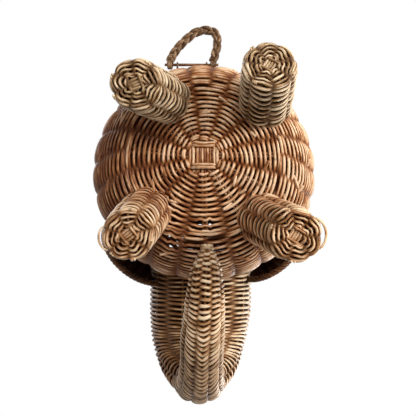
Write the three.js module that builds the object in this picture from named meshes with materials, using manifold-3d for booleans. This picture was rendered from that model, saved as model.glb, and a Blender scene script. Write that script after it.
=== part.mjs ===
// A woven cane basket in the shape of an elephant, standing on four woven feet.
// Sizes are in millimetres. +Z is up, the head points along -Y and the animal's left side is +X.
// Each woven part is a closed skin that stands for the weave, with a frame of stakes inside it. The skins of
// the wall and the head have coarse rows, which pass over and behind the stakes as the finer weave does.

import * as THREE from "three";
import Module from "manifold-3d";
import { mergeVertices } from "three/addons/utils/BufferGeometryUtils.js";

const wasm = await Module();
wasm.setup();

// Clearance and cane sizes
const fit = 0.3;                // gap between pieces that touch
const bendRoom = 0.4;           // further gap where a curved cane runs inside a curved skin
const weave = 6;                // thickness of the woven skin of the body
const stakeDiameter = 3.6;      // canes that run lengthwise in the body
const thinStakeDiameter = 3;    // canes that run lengthwise in the legs, head and trunk
const bodyFlute = 1.4;          // swell of the body's weave where it passes over a stake
const limbFlute = 0.8;          // the same on the legs, head and trunk
const rowHeight = 24;           // coarse rows are about as high as this
const rowEdge = 0.12;           // share of a coarse row's height that each of its slanted edges takes up

// Body
const legHeight = 75;           // floor to the underside of the base
const baseRadius = 88;          // flat part of the base
const bellyRadius = 138;        // widest row of the wall, from side to side
const bellyFlattening = 5.5;    // how much less deep than wide the widest row is, from the middle
const bellyHeight = 80;         // base to the widest row
const rimNarrowing = 16;        // top row of the wall, inside the widest row
const bodyHeight = 195;         // base to the top row
const baseSetback = 18.7;       // how far the base centre lies behind the belly centre
const bodyStakeCount = 24;      // twelve pairs on the base, which part on the wall
const slathWidth = 26;          // square of crossed canes at the base centre
const rimBorderDiameter = 11;
const bellyDepth = bellyRadius - bellyFlattening;
const rimRadius = bellyRadius - rimNarrowing;

// Legs
const legWeave = 5.5;
const legStakeCount = 7;
const soleThickness = 7;
const legFlare = 1.04;          // root diameter as a multiple of the foot diameter
const legHubRadius = 7;         // crossed canes inside each sole
const legRootPart = 1.5;        // the leg is drawn on into the body and cut there
const legWaist = [0.4, 0.8];    // rings between the sole and the root, as parts of the leg

// angle: degrees round the base from the head; reach: root centre beyond the flat of the base;
// lean: foot centre from root centre in X and Y; soleTilt: degrees the outer edge of the sole lifts
const legs = [
  { name: "leg_front_left", side: 1, angle: 45, reach: 4, lean: [10, -22], footDiameter: 54, soleTilt: 0 },
  { name: "leg_front_right", side: -1, angle: 43, reach: 11, lean: [-26, -15], footDiameter: 56, soleTilt: 0 },
  { name: "leg_rear_left", side: 1, angle: 146, reach: -12, lean: [26, 1.5], footDiameter: 53, soleTilt: 0 },
  { name: "leg_rear_right", side: -1, angle: 131, reach: 4, lean: [2, 26.5], footDiameter: 57, soleTilt: 22 },
];

// Head and trunk: one tapered tube with the same stakes from the neck to the tip
const headWeave = 5.5;
const headStakeCount = 9;
const trunkTipRadius = 8;
const trunkTipHeight = 6;
const trunkTipNeck = 0.75;      // radius of the tip's binding as a part of the trunk's end
const trunkTipCrown = 0.4;      // radius of the tip's top as a part of the trunk's end
const neckBelowRim = 8;         // top of the neck under the top row of the wall
const neckBelowBelly = 1;       // underside of the neck under the widest row
const neckHalfHeight = (bodyHeight - bellyHeight - neckBelowRim + neckBelowBelly) / 2;
const neckUp = neckHalfHeight - neckBelowBelly;

// forward: distance ahead of the belly; side: to the animal's left; up: height above the widest row;
// halfWidth and halfHeight: half the tube across and square to its run
const headStations = [
  { forward: -36, side: 5, up: neckUp, halfWidth: 69, halfHeight: neckHalfHeight },
  { forward: 32, side: 5, up: neckUp, halfWidth: 69.5, halfHeight: neckHalfHeight },
  { forward: 84, side: 7, up: 49, halfWidth: 64.5, halfHeight: 48 },
  { forward: 115, side: 7, up: 33, halfWidth: 52.5, halfHeight: 37 },
  { forward: 126, side: 6, up: 5, halfWidth: 36, halfHeight: 30 },
  { forward: 114, side: 4, up: -24, halfWidth: 28, halfHeight: 27 },
  { forward: 86, side: 2.5, up: -52, halfWidth: 26, halfHeight: 26 },
  { forward: 52, side: 1, up: -75, halfWidth: 25.5, halfHeight: 25.5 },
  { forward: 14, side: -1.5, up: -91, halfWidth: 23, halfHeight: 23 },
  { forward: -20, side: -3, up: -95, halfWidth: 19, halfHeight: 18 },
  { forward: -46, side: -4, up: -91, halfWidth: trunkTipRadius, halfHeight: trunkTipRadius },
];
const trunkStation = 4;         // station where the trunk leaves the head
const stakesTo = 0.9;           // the stakes are gathered here, as a part of the whole run
const stakeHub = [0.88, 0.91];  // run of the plug that gathers them
const trunkHollowTo = 0.95;

// Ears
const earWeave = 5;
const earHalfLength = 53;
const earHalfHeight = 48;
const earUp = 50;               // ear centre above the widest row
const earOut = { left: 9.5, right: 5 };  // middle of the ear outside the widest row
const earLean = 0.2;            // how much nearer the wall the ear is for each unit of height
const earBury = 16.5;           // how far the ear runs in behind the side of the head
const earHoopDiameter = 8;

// Tail loop, which turns on a cane rod
const tailUp = 45;              // rod above the widest row
const tailStandOff = 18.5;      // rod centre behind the belly
const tailRodDiameter = 3.6;
const tailRodFrom = -19;        // ends of the rod along X
const tailRodTo = 53;
const tailLoopDiameter = 12.4;
const tailEyeDiameter = 13;
const tailEyeLength = 9;
const tailTieDiameter = 3;
const tailTieEyeDiameter = 8;
const tailTieLength = 69;       // before the wall trims it
const tailTiePlaces = { left: 36, right: -3 };

// across: along the rod; out: away from the rod
const tailLoopPoints = [
  { across: 46, out: 5 },
  { across: 42, out: 13 },
  { across: 35, out: 23 },
  { across: 24, out: 34 },
  { across: 12, out: 43 },
  { across: -3, out: 46.3 },
  { across: -14.5, out: 42 },
  { across: -17.5, out: 30 },
  { across: -15, out: 16 },
  { across: -12, out: 5 },
];

// How finely round shapes are cut
const bodySegments = bodyStakeCount * 2;
const legPoints = legStakeCount * 3;
const headPoints = headStakeCount * 3;
const turnSteps = 5;
const wallSteps = 3;
const rodSides = 6;
const rimSides = 8;             // a corner of the border sits on the top row
const stakeSides = 4;           // stakes lie inside the weave, so they are cut coarsely
const bodyStakeSteps = 9;
const legStakeSteps = 5;
const headStakeSteps = 19;
const headSteps = 8;
const trunkSteps = 11;
const earSteps = 32;
const earShares = [0.25, 0.6, 1];
const tailSteps = 26;
const tailSides = 10;           // rod, its bore and the loop
const eyeSides = 14;
const tieEyeSides = 12;         // also the tip of the trunk

// Colours of the cane
const chestnut = new THREE.MeshStandardMaterial({ color: 0x9a6b45, roughness: 0.55, metalness: 0 });
const straw = new THREE.MeshStandardMaterial({ color: 0xad8e68, roughness: 0.6, metalness: 0 });
const tan = new THREE.MeshStandardMaterial({ color: 0xa37d57, roughness: 0.58, metalness: 0 });
const darkCane = new THREE.MeshStandardMaterial({ color: 0x6f4a2d, roughness: 0.6, metalness: 0 });
const greyCane = new THREE.MeshStandardMaterial({ color: 0x8d7764, roughness: 0.65, metalness: 0 });

// Solids and meshes

function weld(geometry) {
  geometry.deleteAttribute("normal");
  geometry.deleteAttribute("uv");
  return mergeVertices(geometry, 1e-4);
}

function solid(geometry) {
  const welded = weld(geometry.clone());
  return new wasm.Manifold(new wasm.Mesh({
    numProp: 3,
    vertProperties: new Float32Array(welded.attributes.position.array),
    triVerts: new Uint32Array(welded.index.array),
  }));
}

function shapeOf(manifold) {
  const mesh = manifold.getMesh();
  const geometry = new THREE.BufferGeometry();
  geometry.setAttribute("position", new THREE.BufferAttribute(new Float32Array(mesh.vertProperties), 3));
  geometry.setIndex(new THREE.BufferAttribute(new Uint32Array(mesh.triVerts), 1));
  return geometry;
}

function joined(geometries) {
  return geometries.map(solid).reduce((all, next) => all.add(next));
}

function piece(name, geometry, material) {
  const welded = weld(geometry.clone());
  welded.computeVertexNormals();
  const mesh = new THREE.Mesh(welded, material);
  mesh.name = name;
  return mesh;
}

function signedVolume(corners, index) {
  let sum = 0;
  for (let i = 0; i < index.length; i += 3) {
    const [a, b, c] = [corners[index[i]], corners[index[i + 1]], corners[index[i + 2]]];
    sum += a.dot(new THREE.Vector3().crossVectors(b, c)) / 6;
  }
  return sum;
}

// Joins rings of points, each with the same count, into a closed skin. A loop joins the last ring to the
// first; otherwise a fan closes each end. The faces are turned to look outward.
function loft(rings, loop = false) {
  const count = rings[0].length;
  const corners = rings.flat();
  const index = [];
  const lastRing = loop ? rings.length : rings.length - 1;
  for (let i = 0; i < lastRing; i += 1) {
    const here = i * count;
    const next = ((i + 1) % rings.length) * count;
    for (let k = 0; k < count; k += 1) {
      const l = (k + 1) % count;
      index.push(here + k, next + k, next + l, here + k, next + l, here + l);
    }
  }
  if (!loop) {
    for (const [ring, start, turn] of [[rings[0], 0, 1], [rings.at(-1), (rings.length - 1) * count, -1]]) {
      const middle = ring.reduce((sum, p) => sum.add(p), new THREE.Vector3()).divideScalar(count);
      const centre = corners.push(middle) - 1;
      for (let k = 0; k < count; k += 1) {
        const edge = [start + k, start + ((k + 1) % count)];
        index.push(centre, ...(turn > 0 ? edge : edge.reverse()));
      }
    }
  }
  if (signedVolume(corners, index) < 0) {
    index.reverse();
  }
  const geometry = new THREE.BufferGeometry().setFromPoints(corners);
  geometry.setIndex(index);
  return geometry;
}

function roundSection(radius, sides) {
  const shape = new THREE.Shape();
  const corners = Array.from({ length: sides }, (_, k) => {
    const angle = (2 * Math.PI * k) / sides;
    return new THREE.Vector2(radius * Math.cos(angle), radius * Math.sin(angle));
  });
  return shape.setFromPoints(corners);
}

function rod(points, diameter, steps, sides = rodSides) {
  const extrudePath = new THREE.CatmullRomCurve3(points);
  return new THREE.ExtrudeGeometry(roundSection(diameter / 2, sides), { steps, extrudePath, bevelEnabled: false });
}

function swell(depth, count, angle) {
  return depth * Math.cos(count * angle);
}

// Share of a skin's thickness by which a row is pressed in: alternate rows run behind alternate stakes, and
// there the skin lies no further out than it does between the stakes.
function pressedShare(depth, thickness, count, angle, row) {
  const behind = Math.cos((count / 2) * angle) * (row % 2 === 0 ? 1 : -1);
  return ((2 * depth) / thickness) * Math.max(0, behind);
}

// Rings of a skin with coarse rows. Each row has a lower and an upper edge between two of the given rings,
// moved towards the lining by the share that press gives for a point and a row.
function rowRings(skin, lining, press) {
  const rings = [skin[0]];
  let row = 0;
  for (let i = 1; i < skin.length; i += 1) {
    const rows = Math.max(1, Math.round(skin[i - 1][0].distanceTo(skin[i][0]) / rowHeight));
    for (let k = 0; k < rows; k += 1) {
      for (const edge of [rowEdge, 1 - rowEdge]) {
        const part = (k + edge) / rows;
        const number = row;
        rings.push(skin[i].map((_, place) => {
          const outer = skin[i - 1][place].clone().lerp(skin[i][place], part);
          const inner = lining[i - 1][place].clone().lerp(lining[i][place], part);
          return outer.lerp(inner, press(place, number));
        }));
      }
      row += 1;
    }
  }
  return [...rings, skin.at(-1)];
}

// Body

const bellyTop = legHeight + bellyHeight;
const rimTop = legHeight + bodyHeight;
const firstStake = Math.PI / bodyStakeCount;  // the two stakes of a pair part to either side of it

// Half outline of the wall from the edge of the flat base to the rim, moved inward by inset.
function wallOutline(inset) {
  const turn = bellyRadius - baseRadius;
  const narrowing = bellyRadius - rimRadius;
  const rise = bodyHeight - bellyHeight;
  const points = [];
  for (let i = 0; i <= turnSteps; i += 1) {
    const angle = (Math.PI / 2) * (i / turnSteps);
    const normal = new THREE.Vector2(bellyHeight * Math.sin(angle), -turn * Math.cos(angle)).normalize();
    const outer = new THREE.Vector2(turn * Math.sin(angle), bellyHeight * (1 - Math.cos(angle)));
    points.push(outer.addScaledVector(normal, -inset).add(new THREE.Vector2(baseRadius, legHeight)));
  }
  for (let i = 1; i <= wallSteps; i += 1) {
    const part = i / wallSteps;
    const lean = i < wallSteps ? (2 * narrowing * part) / rise : 0;
    const normal = new THREE.Vector2(1, lean).normalize();
    const outer = new THREE.Vector2(bellyRadius - narrowing * part * part, bellyTop + rise * part);
    points.push(outer.addScaledVector(normal, -inset));
  }
  return points;
}

// How far a point of the body has come round the turn: 0 on the flat base, 1 from the widest row upward.
function turnShare(radius, z) {
  const out = Math.max(0, radius - baseRadius) / (bellyRadius - baseRadius);
  const below = Math.max(0, bellyTop - z) / bellyHeight;
  return Math.sin(Math.atan2(out, below));
}

// Gives a shape of the body its swells over the stakes, sets its base back from its belly and makes the
// belly a little less deep than it is wide.
function shapeBody(geometry) {
  const position = geometry.attributes.position;
  for (let i = 0; i < position.count; i += 1) {
    const [x, y, z] = [position.getX(i), position.getY(i), position.getZ(i)];
    const radius = Math.hypot(x, y);
    const depth = (bodyFlute * radius) / bellyRadius ** 2;
    const wider = 1 + swell(depth, bodyStakeCount, Math.atan2(x, -y) - firstStake);
    const share = turnShare(radius, z);
    const deep = THREE.MathUtils.lerp(1, bellyDepth / bellyRadius, share);
    position.setXYZ(i, x * wider, y * wider * deep + baseSetback * (1 - share), z);
  }
  return geometry;
}

function turned(outline) {
  return shapeBody(new THREE.LatheGeometry(outline, bodySegments).rotateX(Math.PI / 2));
}

const slathHole = slathWidth * Math.SQRT1_2 + 2 * fit;

function baseWeave() {
  const corner = (radius, up) => new THREE.Vector2(radius, legHeight + up);
  const edge = [[slathHole, 0], [baseRadius, 0], [baseRadius, weave], [slathHole, weave], [slathHole, 0]];
  return turned(edge.map(([radius, up]) => corner(radius, up)));
}

function bodyRing(point) {
  return Array.from({ length: bodySegments }, (_, k) => {
    const angle = (2 * Math.PI * k) / bodySegments;
    return new THREE.Vector3(point.x * Math.sin(angle), -point.x * Math.cos(angle), point.y);
  });
}

function wallWeave() {
  const gap = new THREE.Vector2(fit, 0);
  const outer = wallOutline(0);
  const inner = wallOutline(weave);
  outer[0].add(gap);
  inner[0].add(gap);
  const lining = inner.map(bodyRing);
  const skin = rowRings(outer.map(bodyRing), lining, (place, row) => {
    const angle = (2 * Math.PI * place) / bodySegments - firstStake;
    return pressedShare(bodyFlute, weave, bodyStakeCount, angle, row);
  });
  return shapeBody(loft([...skin, ...lining.reverse()], true));
}

// The whole body as a filled block with the clearance round it, which cuts what stands against it.
function bodyBlock() {
  const outline = wallOutline(-fit);
  const floor = new THREE.Vector2(0, legHeight - fit);
  const top = new THREE.Vector2(0, rimTop);
  return solid(turned([floor, ...outline, top]));
}

function bodyStakes() {
  const inset = weave + fit + bendRoom + stakeDiameter / 2;
  const outline = wallOutline(inset);
  const level = legHeight + inset;
  const start = new THREE.Vector2(slathWidth / 4, level);
  const middle = new THREE.Vector2(baseRadius / 2, level);
  const canes = [];
  for (let k = 0; k < bodyStakeCount; k += 1) {
    const angle = firstStake + (2 * Math.PI * k) / bodyStakeCount;
    const points = [start, middle, ...outline].map(
      (p) => new THREE.Vector3(p.x * Math.sin(angle), -p.x * Math.cos(angle), p.y),
    );
    canes.push(shapeBody(rod(points, stakeDiameter, bodyStakeSteps, stakeSides)));
  }
  const height = inset + stakeDiameter / 2;
  const slath = new THREE.BoxGeometry(slathWidth, slathWidth, height);
  slath.translate(0, baseSetback, legHeight + height / 2);
  return shapeOf(joined([slath, ...canes]));
}

function rimBorder() {
  const ring = new THREE.TorusGeometry(rimRadius - weave / 2, rimBorderDiameter / 2, rimSides, bodySegments);
  return shapeBody(ring.translate(0, 0, rimTop + fit + rimBorderDiameter / 2));
}

// Legs

const legAngles = Array.from({ length: legPoints }, (_, k) => (2 * Math.PI * k) / legPoints);

// A ring of a leg: part 0 is the floor end, part 1 the root at the level of the base.
function legRing(leg, part, inset) {
  return legAngles.map((angle) => legPoint(leg, part, inset, angle));
}

// How far the corner of a sole that would sink deepest when the sole tilts lies from its middle.
function lowestCorner(footRadius) {
  const downhill = legAngles.map(
    (angle) => -Math.cos(angle) * (footRadius + swell(limbFlute, legStakeCount, angle)),
  );
  return Math.max(...downhill);
}

function legPoint(leg, part, inset, angle) {
  const around = THREE.MathUtils.degToRad(leg.angle);
  const tilt = THREE.MathUtils.degToRad(leg.soleTilt) * Math.max(0, 1 - part);
  const footRadius = leg.footDiameter / 2;
  const radius = footRadius * (1 + (legFlare - 1) * part) - inset + swell(limbFlute, legStakeCount, angle);
  const outward = new THREE.Vector3(leg.lean[0], leg.lean[1], 0).normalize();
  const across = new THREE.Vector3(-outward.y, outward.x, 0);
  const uphill = outward.multiplyScalar(Math.cos(tilt)).setZ(Math.sin(tilt));
  const lift = lowestCorner(footRadius) * Math.sin(THREE.MathUtils.degToRad(leg.soleTilt));
  const centre = new THREE.Vector3(
    leg.side * Math.sin(around) * (baseRadius + leg.reach) + leg.lean[0] * (1 - part),
    baseSetback - Math.cos(around) * (baseRadius + leg.reach) + leg.lean[1] * (1 - part),
    THREE.MathUtils.lerp(lift, legHeight, part),
  );
  return centre.addScaledVector(across, radius * Math.sin(angle)).addScaledVector(uphill, radius * Math.cos(angle));
}

// Share of the leg's run that a height above the sole takes up.
const legPart = (height) => height / legHeight;

function legWeaveTube(leg, body) {
  const from = legPart(soleThickness + fit);
  const parts = [from, ...legWaist, legRootPart];
  const outer = parts.map((part) => legRing(leg, part, 0));
  const inner = parts.map((part) => legRing(leg, part, legWeave));
  return shapeOf(solid(loft([...outer, ...inner.reverse()], true)).subtract(body));
}

function legSole(leg) {
  const top = legPart(soleThickness);
  return loft([legRing(leg, 0, 0), legRing(leg, top, 0)]);
}

function legStakes(leg, body) {
  const inset = legWeave + fit + bendRoom + thinStakeDiameter / 2;
  const bend = thinStakeDiameter * 2;
  const floor = legPart(soleThickness + fit + thinStakeDiameter / 2);
  const canes = [];
  for (let k = 0; k < legStakeCount; k += 1) {
    const angle = (2 * Math.PI * k) / legStakeCount;
    const points = [
      legPoint(leg, floor, leg.footDiameter / 2 - legHubRadius / 2, angle),
      legPoint(leg, floor, inset + bend, angle),
      legPoint(leg, floor + legPart(bend / 4), inset + bend / 4, angle),
      legPoint(leg, floor + legPart(bend), inset, angle),
      legPoint(leg, (legWaist[0] + legWaist[1]) / 2, inset, angle),
      legPoint(leg, legRootPart, inset, angle),
    ];
    canes.push(rod(points, thinStakeDiameter, legStakeSteps, stakeSides));
  }
  const hubInset = leg.footDiameter / 2 - legHubRadius;
  const half = legPart(thinStakeDiameter / 2);
  const hub = loft([legRing(leg, floor - half, hubInset), legRing(leg, floor + half, hubInset)]);
  return shapeOf(joined([hub, ...canes]).subtract(body));
}

// Head and trunk

const headPath = new THREE.CatmullRomCurve3(
  headStations.map((s) => new THREE.Vector3(s.side, -(bellyDepth + s.forward), bellyTop + s.up)),
);
const headSizes = new THREE.CatmullRomCurve3(
  headStations.map((s) => new THREE.Vector3(s.halfWidth, s.halfHeight, 0)),
);
const trunkFrom = trunkStation / (headStations.length - 1);

// A point on the head or trunk; angle 0 is the line down the front of the trunk.
function headPoint(t, inset, angle, ahead = 0) {
  const along = headPath.getTangent(t);
  const across = new THREE.Vector3(1, 0, 0);
  const front = new THREE.Vector3().crossVectors(across, along).normalize();
  const size = headSizes.getPoint(t);
  const wider = swell(limbFlute, headStakeCount, angle) - inset;
  return headPath.getPoint(t)
    .addScaledVector(along, ahead)
    .addScaledVector(across, (size.x + wider) * Math.sin(angle))
    .addScaledVector(front, -(size.y + wider) * Math.cos(angle));
}

function headRing(t, inset, ahead = 0) {
  return Array.from({ length: headPoints }, (_, k) => headPoint(t, inset, (2 * Math.PI * k) / headPoints, ahead));
}

function spread(from, to, steps) {
  return Array.from({ length: steps + 1 }, (_, i) => THREE.MathUtils.lerp(from, to, i / steps));
}

const headPlaces = spread(0, trunkFrom, headSteps);
const trunkPlaces = spread(trunkFrom, trunkHollowTo, trunkSteps);

// The head as a filled block with the clearance round it, which cuts the ears.
function headBlock() {
  return solid(loft(headPlaces.map((t) => headRing(t, -fit))));
}

function headWeaveSkin(body) {
  const lining = headPlaces.map((t) => headRing(t, headWeave));
  const skin = rowRings(headPlaces.map((t) => headRing(t, 0)), lining, (place, row) => {
    const turn = (2 * Math.PI * place) / headPoints;
    const angle = turn > Math.PI ? turn - 2 * Math.PI : turn;
    return pressedShare(limbFlute, headWeave, headStakeCount, angle, row);
  });
  return shapeOf(solid(loft([...skin, ...lining.reverse()], true)).subtract(body));
}

function trunkWeave() {
  const outer = [1, ...trunkPlaces.toReversed()].map((t) => headRing(t, 0, t === trunkFrom ? fit : 0));
  const inner = trunkPlaces.map((t) => headRing(t, headWeave, t === trunkFrom ? fit : 0));
  return loft([...outer, ...inner]);
}

// The canes follow the hollow of the head and trunk, which trims what would touch the skin.
function headStakes(body) {
  const hollow = loft([...headPlaces, ...trunkPlaces.slice(1)].map((t) => headRing(t, headWeave + fit)));
  const inset = headWeave + fit + 3 * bendRoom + thinStakeDiameter / 2;
  const canes = [];
  for (let k = 0; k < headStakeCount; k += 1) {
    const angle = (2 * Math.PI * k) / headStakeCount;
    const points = spread(0, stakesTo, headStakeSteps + 1).map((t) => headPoint(t, inset, angle));
    canes.push(rod(points, thinStakeDiameter, headStakeSteps, stakeSides));
  }
  const hub = loft(stakeHub.map((t) => headRing(t, headWeave + fit)));
  return shapeOf(joined([hub, ...canes]).intersect(solid(hollow)).subtract(body));
}

function trunkTip() {
  const outline = [
    new THREE.Vector2(0, 0),
    new THREE.Vector2(trunkTipRadius * trunkTipNeck, 0),
    new THREE.Vector2(trunkTipRadius * trunkTipNeck, trunkTipHeight / 2),
    new THREE.Vector2(trunkTipRadius * trunkTipCrown, trunkTipHeight),
    new THREE.Vector2(0, trunkTipHeight),
  ];
  const along = headPath.getTangent(1);
  const seat = headPath.getPoint(1).addScaledVector(along, fit);
  const knob = new THREE.LatheGeometry(outline, tieEyeSides);
  knob.applyQuaternion(new THREE.Quaternion().setFromUnitVectors(new THREE.Vector3(0, 1, 0), along));
  return knob.translate(seat.x, seat.y, seat.z);
}

// Ears

// A point of an ear, bent round the body: angle runs round the oval, off is outward from its middle layer.
function earPoint(side, angle, halfLength, halfHeight, off) {
  const earRadius = bellyRadius + (side > 0 ? earOut.left : earOut.right);
  const front = Math.asin((headStations[1].halfWidth - earBury) / earRadius);
  const around = front + (earHalfLength + halfLength * Math.cos(angle)) / earRadius;
  const up = halfHeight * Math.sin(angle);
  const radius = earRadius - earLean * up + off;
  return new THREE.Vector3(
    side * radius * Math.sin(around),
    -radius * Math.cos(around),
    bellyTop + earUp + up,
  );
}

const earAngles = Array.from({ length: earSteps }, (_, k) => (2 * Math.PI * k) / earSteps);

function earWeavePanel(side, head) {
  const edge = earHoopDiameter / 2 + fit;
  const oval = (share, off) => earAngles.map((angle) => earPoint(
    side, angle, (earHalfLength - edge) * share, (earHalfHeight - edge) * share, off,
  ));
  const outer = earShares.map((share) => oval(share, earWeave / 2));
  const inner = earShares.map((share) => oval(share, -earWeave / 2));
  return shapeOf(solid(loft([...outer, ...inner.reverse()])).subtract(head));
}

function earHoop(side, head) {
  const radius = earHoopDiameter / 2;
  const rings = earAngles.map((angle) => Array.from({ length: rodSides }, (_, k) => {
    const turn = (2 * Math.PI * k) / rodSides;
    const wider = radius * Math.cos(turn);
    return earPoint(side, angle, earHalfLength + wider, earHalfHeight + wider, radius * Math.sin(turn));
  }));
  return shapeOf(solid(loft(rings, true)).subtract(head));
}

// Tail

const tailPlace = { y: bellyDepth + tailStandOff, z: bellyTop + tailUp };

function alongX(radius, length, sides) {
  return new THREE.CylinderGeometry(radius, radius, length, sides).rotateZ(Math.PI / 2);
}

function tailRod() {
  const length = tailRodTo - tailRodFrom;
  const bar = alongX(tailRodDiameter / 2, length, tailSides);
  return bar.translate((tailRodFrom + tailRodTo) / 2, tailPlace.y, tailPlace.z);
}

function tailBore(clearance) {
  const length = tailRodTo - tailRodFrom + 4 * tailLoopDiameter;
  const bar = alongX(tailRodDiameter / 2 + clearance, length, tailSides);
  return solid(bar.translate((tailRodFrom + tailRodTo) / 2, tailPlace.y, tailPlace.z));
}

function tailLoop() {
  const points = tailLoopPoints.map(
    (p) => new THREE.Vector3(p.across, tailPlace.y + p.out, tailPlace.z),
  );
  const strand = rod(points, tailLoopDiameter, tailSteps, tailSides);
  const eyes = [tailLoopPoints[0], tailLoopPoints.at(-1)].map((p) => {
    const eye = alongX(tailEyeDiameter / 2, tailEyeLength, eyeSides);
    return eye.translate(p.across, tailPlace.y, tailPlace.z);
  });
  return shapeOf(joined([strand, ...eyes]).subtract(tailBore(fit)));
}

// A tie: a short cane from the wall with an eye that holds the rod.
function tailTie(across, body) {
  const post = new THREE.CylinderGeometry(tailTieDiameter / 2, tailTieDiameter / 2, tailTieLength, rimSides);
  post.translate(across, tailPlace.y - tailTieLength / 2, tailPlace.z);
  const eye = alongX(tailTieEyeDiameter / 2, tailTieDiameter, tieEyeSides);
  eye.translate(across, tailPlace.y, tailPlace.z);
  return shapeOf(joined([post, eye]).subtract(tailBore(fit)).subtract(body));
}

// Assembly

const body = bodyBlock();
const head = headBlock();
const meshes = [
  piece("body_stakes", bodyStakes(), chestnut),
  piece("base_weave", baseWeave(), chestnut),
  piece("wall_weave", wallWeave(), chestnut),
  piece("rim_border", rimBorder(), chestnut),
  piece("head_weave", headWeaveSkin(body), tan),
  piece("trunk_weave", trunkWeave(), tan),
  piece("head_stakes", headStakes(body), tan),
  piece("trunk_tip", trunkTip(), straw),
  piece("tail_loop", tailLoop(), greyCane),
  piece("tail_rod", tailRod(), darkCane),
];
for (const leg of legs) {
  meshes.push(piece(`${leg.name}_weave`, legWeaveTube(leg, body), straw));
  meshes.push(piece(`${leg.name}_sole`, legSole(leg), straw));
  meshes.push(piece(`${leg.name}_stakes`, legStakes(leg, body), straw));
}
for (const [name, side] of [["left", 1], ["right", -1]]) {
  meshes.push(piece(`ear_${name}_weave`, earWeavePanel(side, head), darkCane));
  meshes.push(piece(`ear_${name}_hoop`, earHoop(side, head), darkCane));
  meshes.push(piece(`tail_tie_${name}`, tailTie(tailTiePlaces[name], body), darkCane));
}

// The origin is on the floor under the middle of the whole basket.
const basket = new THREE.Group();
basket.name = "elephant_basket";
basket.add(...meshes);
const middle = new THREE.Box3().setFromObject(basket).getCenter(new THREE.Vector3());
basket.position.set(-middle.x, -middle.y, 0);

export default basket;
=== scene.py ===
"""Looks of a woven cane basket in the shape of an elephant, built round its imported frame.

Every woven part is a set of stakes (canes that run lengthwise) and weavers (thinner canes that pass in
front of one stake and behind the next). Each cane is a round section carried along its own path.
A place on a woven skin is told by its run (the way along the skin), its angle round the skin and its
inset (the depth under the skin's outer side).
Lengths are in metres. +Z is up, the head points along -Y and the animal's left side is +X.
"""

import math

import bpy
import numpy as np
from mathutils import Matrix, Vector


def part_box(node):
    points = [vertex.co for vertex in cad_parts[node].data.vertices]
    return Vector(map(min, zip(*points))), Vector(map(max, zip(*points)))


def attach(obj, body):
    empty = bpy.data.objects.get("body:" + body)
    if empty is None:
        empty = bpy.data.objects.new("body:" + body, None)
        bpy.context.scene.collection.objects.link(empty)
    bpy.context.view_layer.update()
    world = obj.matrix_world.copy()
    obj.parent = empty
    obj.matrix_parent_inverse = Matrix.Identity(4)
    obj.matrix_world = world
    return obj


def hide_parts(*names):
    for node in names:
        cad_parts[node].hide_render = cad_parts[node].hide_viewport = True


bl_info = {
    "name": "Elephant basket",
    "version": (1, 0, 0),
    "blender": (4, 5, 0),
    "location": "3D View > Sidebar > Basket",
    "description": "Builds the canes, finishes and stage of a woven elephant basket",
    "category": "Mesh",
}

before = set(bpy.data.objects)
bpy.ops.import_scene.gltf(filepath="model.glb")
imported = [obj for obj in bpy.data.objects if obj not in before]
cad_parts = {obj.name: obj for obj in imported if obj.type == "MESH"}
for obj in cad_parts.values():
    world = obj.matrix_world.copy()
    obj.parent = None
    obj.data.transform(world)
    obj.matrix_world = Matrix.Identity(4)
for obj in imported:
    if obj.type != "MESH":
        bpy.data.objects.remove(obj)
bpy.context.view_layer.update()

MM = 0.001
FULL_TURN = 2 * math.pi
SIDEWAYS = np.array([1.0, 0.0, 0.0])
UPWARD = np.array([0.0, 0.0, 1.0])

# Body: a flat base, a quarter turn out to the widest row, and a wall that narrows to the rim
LEG_HEIGHT = 75 * MM
BASE_RADIUS = 88 * MM
BELLY_RADIUS = 138 * MM
BELLY_DEPTH = 132.5 * MM
BELLY_HEIGHT = 80 * MM
RIM_RADIUS = 122 * MM
BODY_HEIGHT = 195 * MM
BASE_SETBACK = 18.7 * MM
BELLY_TOP = LEG_HEIGHT + BELLY_HEIGHT
RIM_TOP = LEG_HEIGHT + BODY_HEIGHT
FLAT_PLACES = 119
TURN_PLACES = 399
RISE_PLACES = 300
PAIRS = 12
STAKES = 2 * PAIRS
BASE_START = 19.5 * MM
WALL_START = BASE_RADIUS

# Rolled border: a rope of canes on the top row. A cane's radius is a share of its rope's diameter
RIM_ROPE = 11 * MM
RIM_INSET = 3 * MM
RIM_SETTLED = 1.6 * MM
RIM_CANES = 4
RIM_TWISTS = 26
RIM_PLACES = 560
ROPE_CANE = 0.27

# Crossed canes of the base centre: half their square, where they have bent to their spokes, how far out
# they are laid flat, where they come level after crossing, how far apart they cross and lie in a pair, in
# canes, and where a pair parts for the wall
SLATH_HALF = 8.6 * MM
SLATH_BENT = 26 * MM
SLATH_FLAT = 60 * MM
SLATH_LEVEL = (6 * MM, 11 * MM)
SLATH_CROSSING = 0.62
PAIR_APART = 0.55
PAIR_PARTS = (76 * MM, 104 * MM)

# Stretches of a stake from the base centre, in millimetres, with their numbers of places
SLATH_STRETCHES = ((0, 30, 21), (30, 72, 15), (72, 108, 21))
WALL_PLACES = 60

# Places along each other kind of cane, from one end to the other or once round
BAR_PLACES = 15
RING_PLACES = 144
SPLICE_PLACES = 7
HEART_PLACES = 9
STUB_PLACES = 4
SPRUNG_PLACES = 25
LEG_STAKE_PLACES = 60
HEAD_STAKE_PLACES = 150
BINDING_PLACES = 41
EAR_ROW_PLACES = 81
EAR_STAKE_PLACES = 25
HOOP_PLACES = 240
LOOP_PLACES = 181
EYE_PLACES = 61
ROD_PLACES = 30
TIE_REACH_PLACES = 7
TIE_WIND_PLACES = 25

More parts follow.
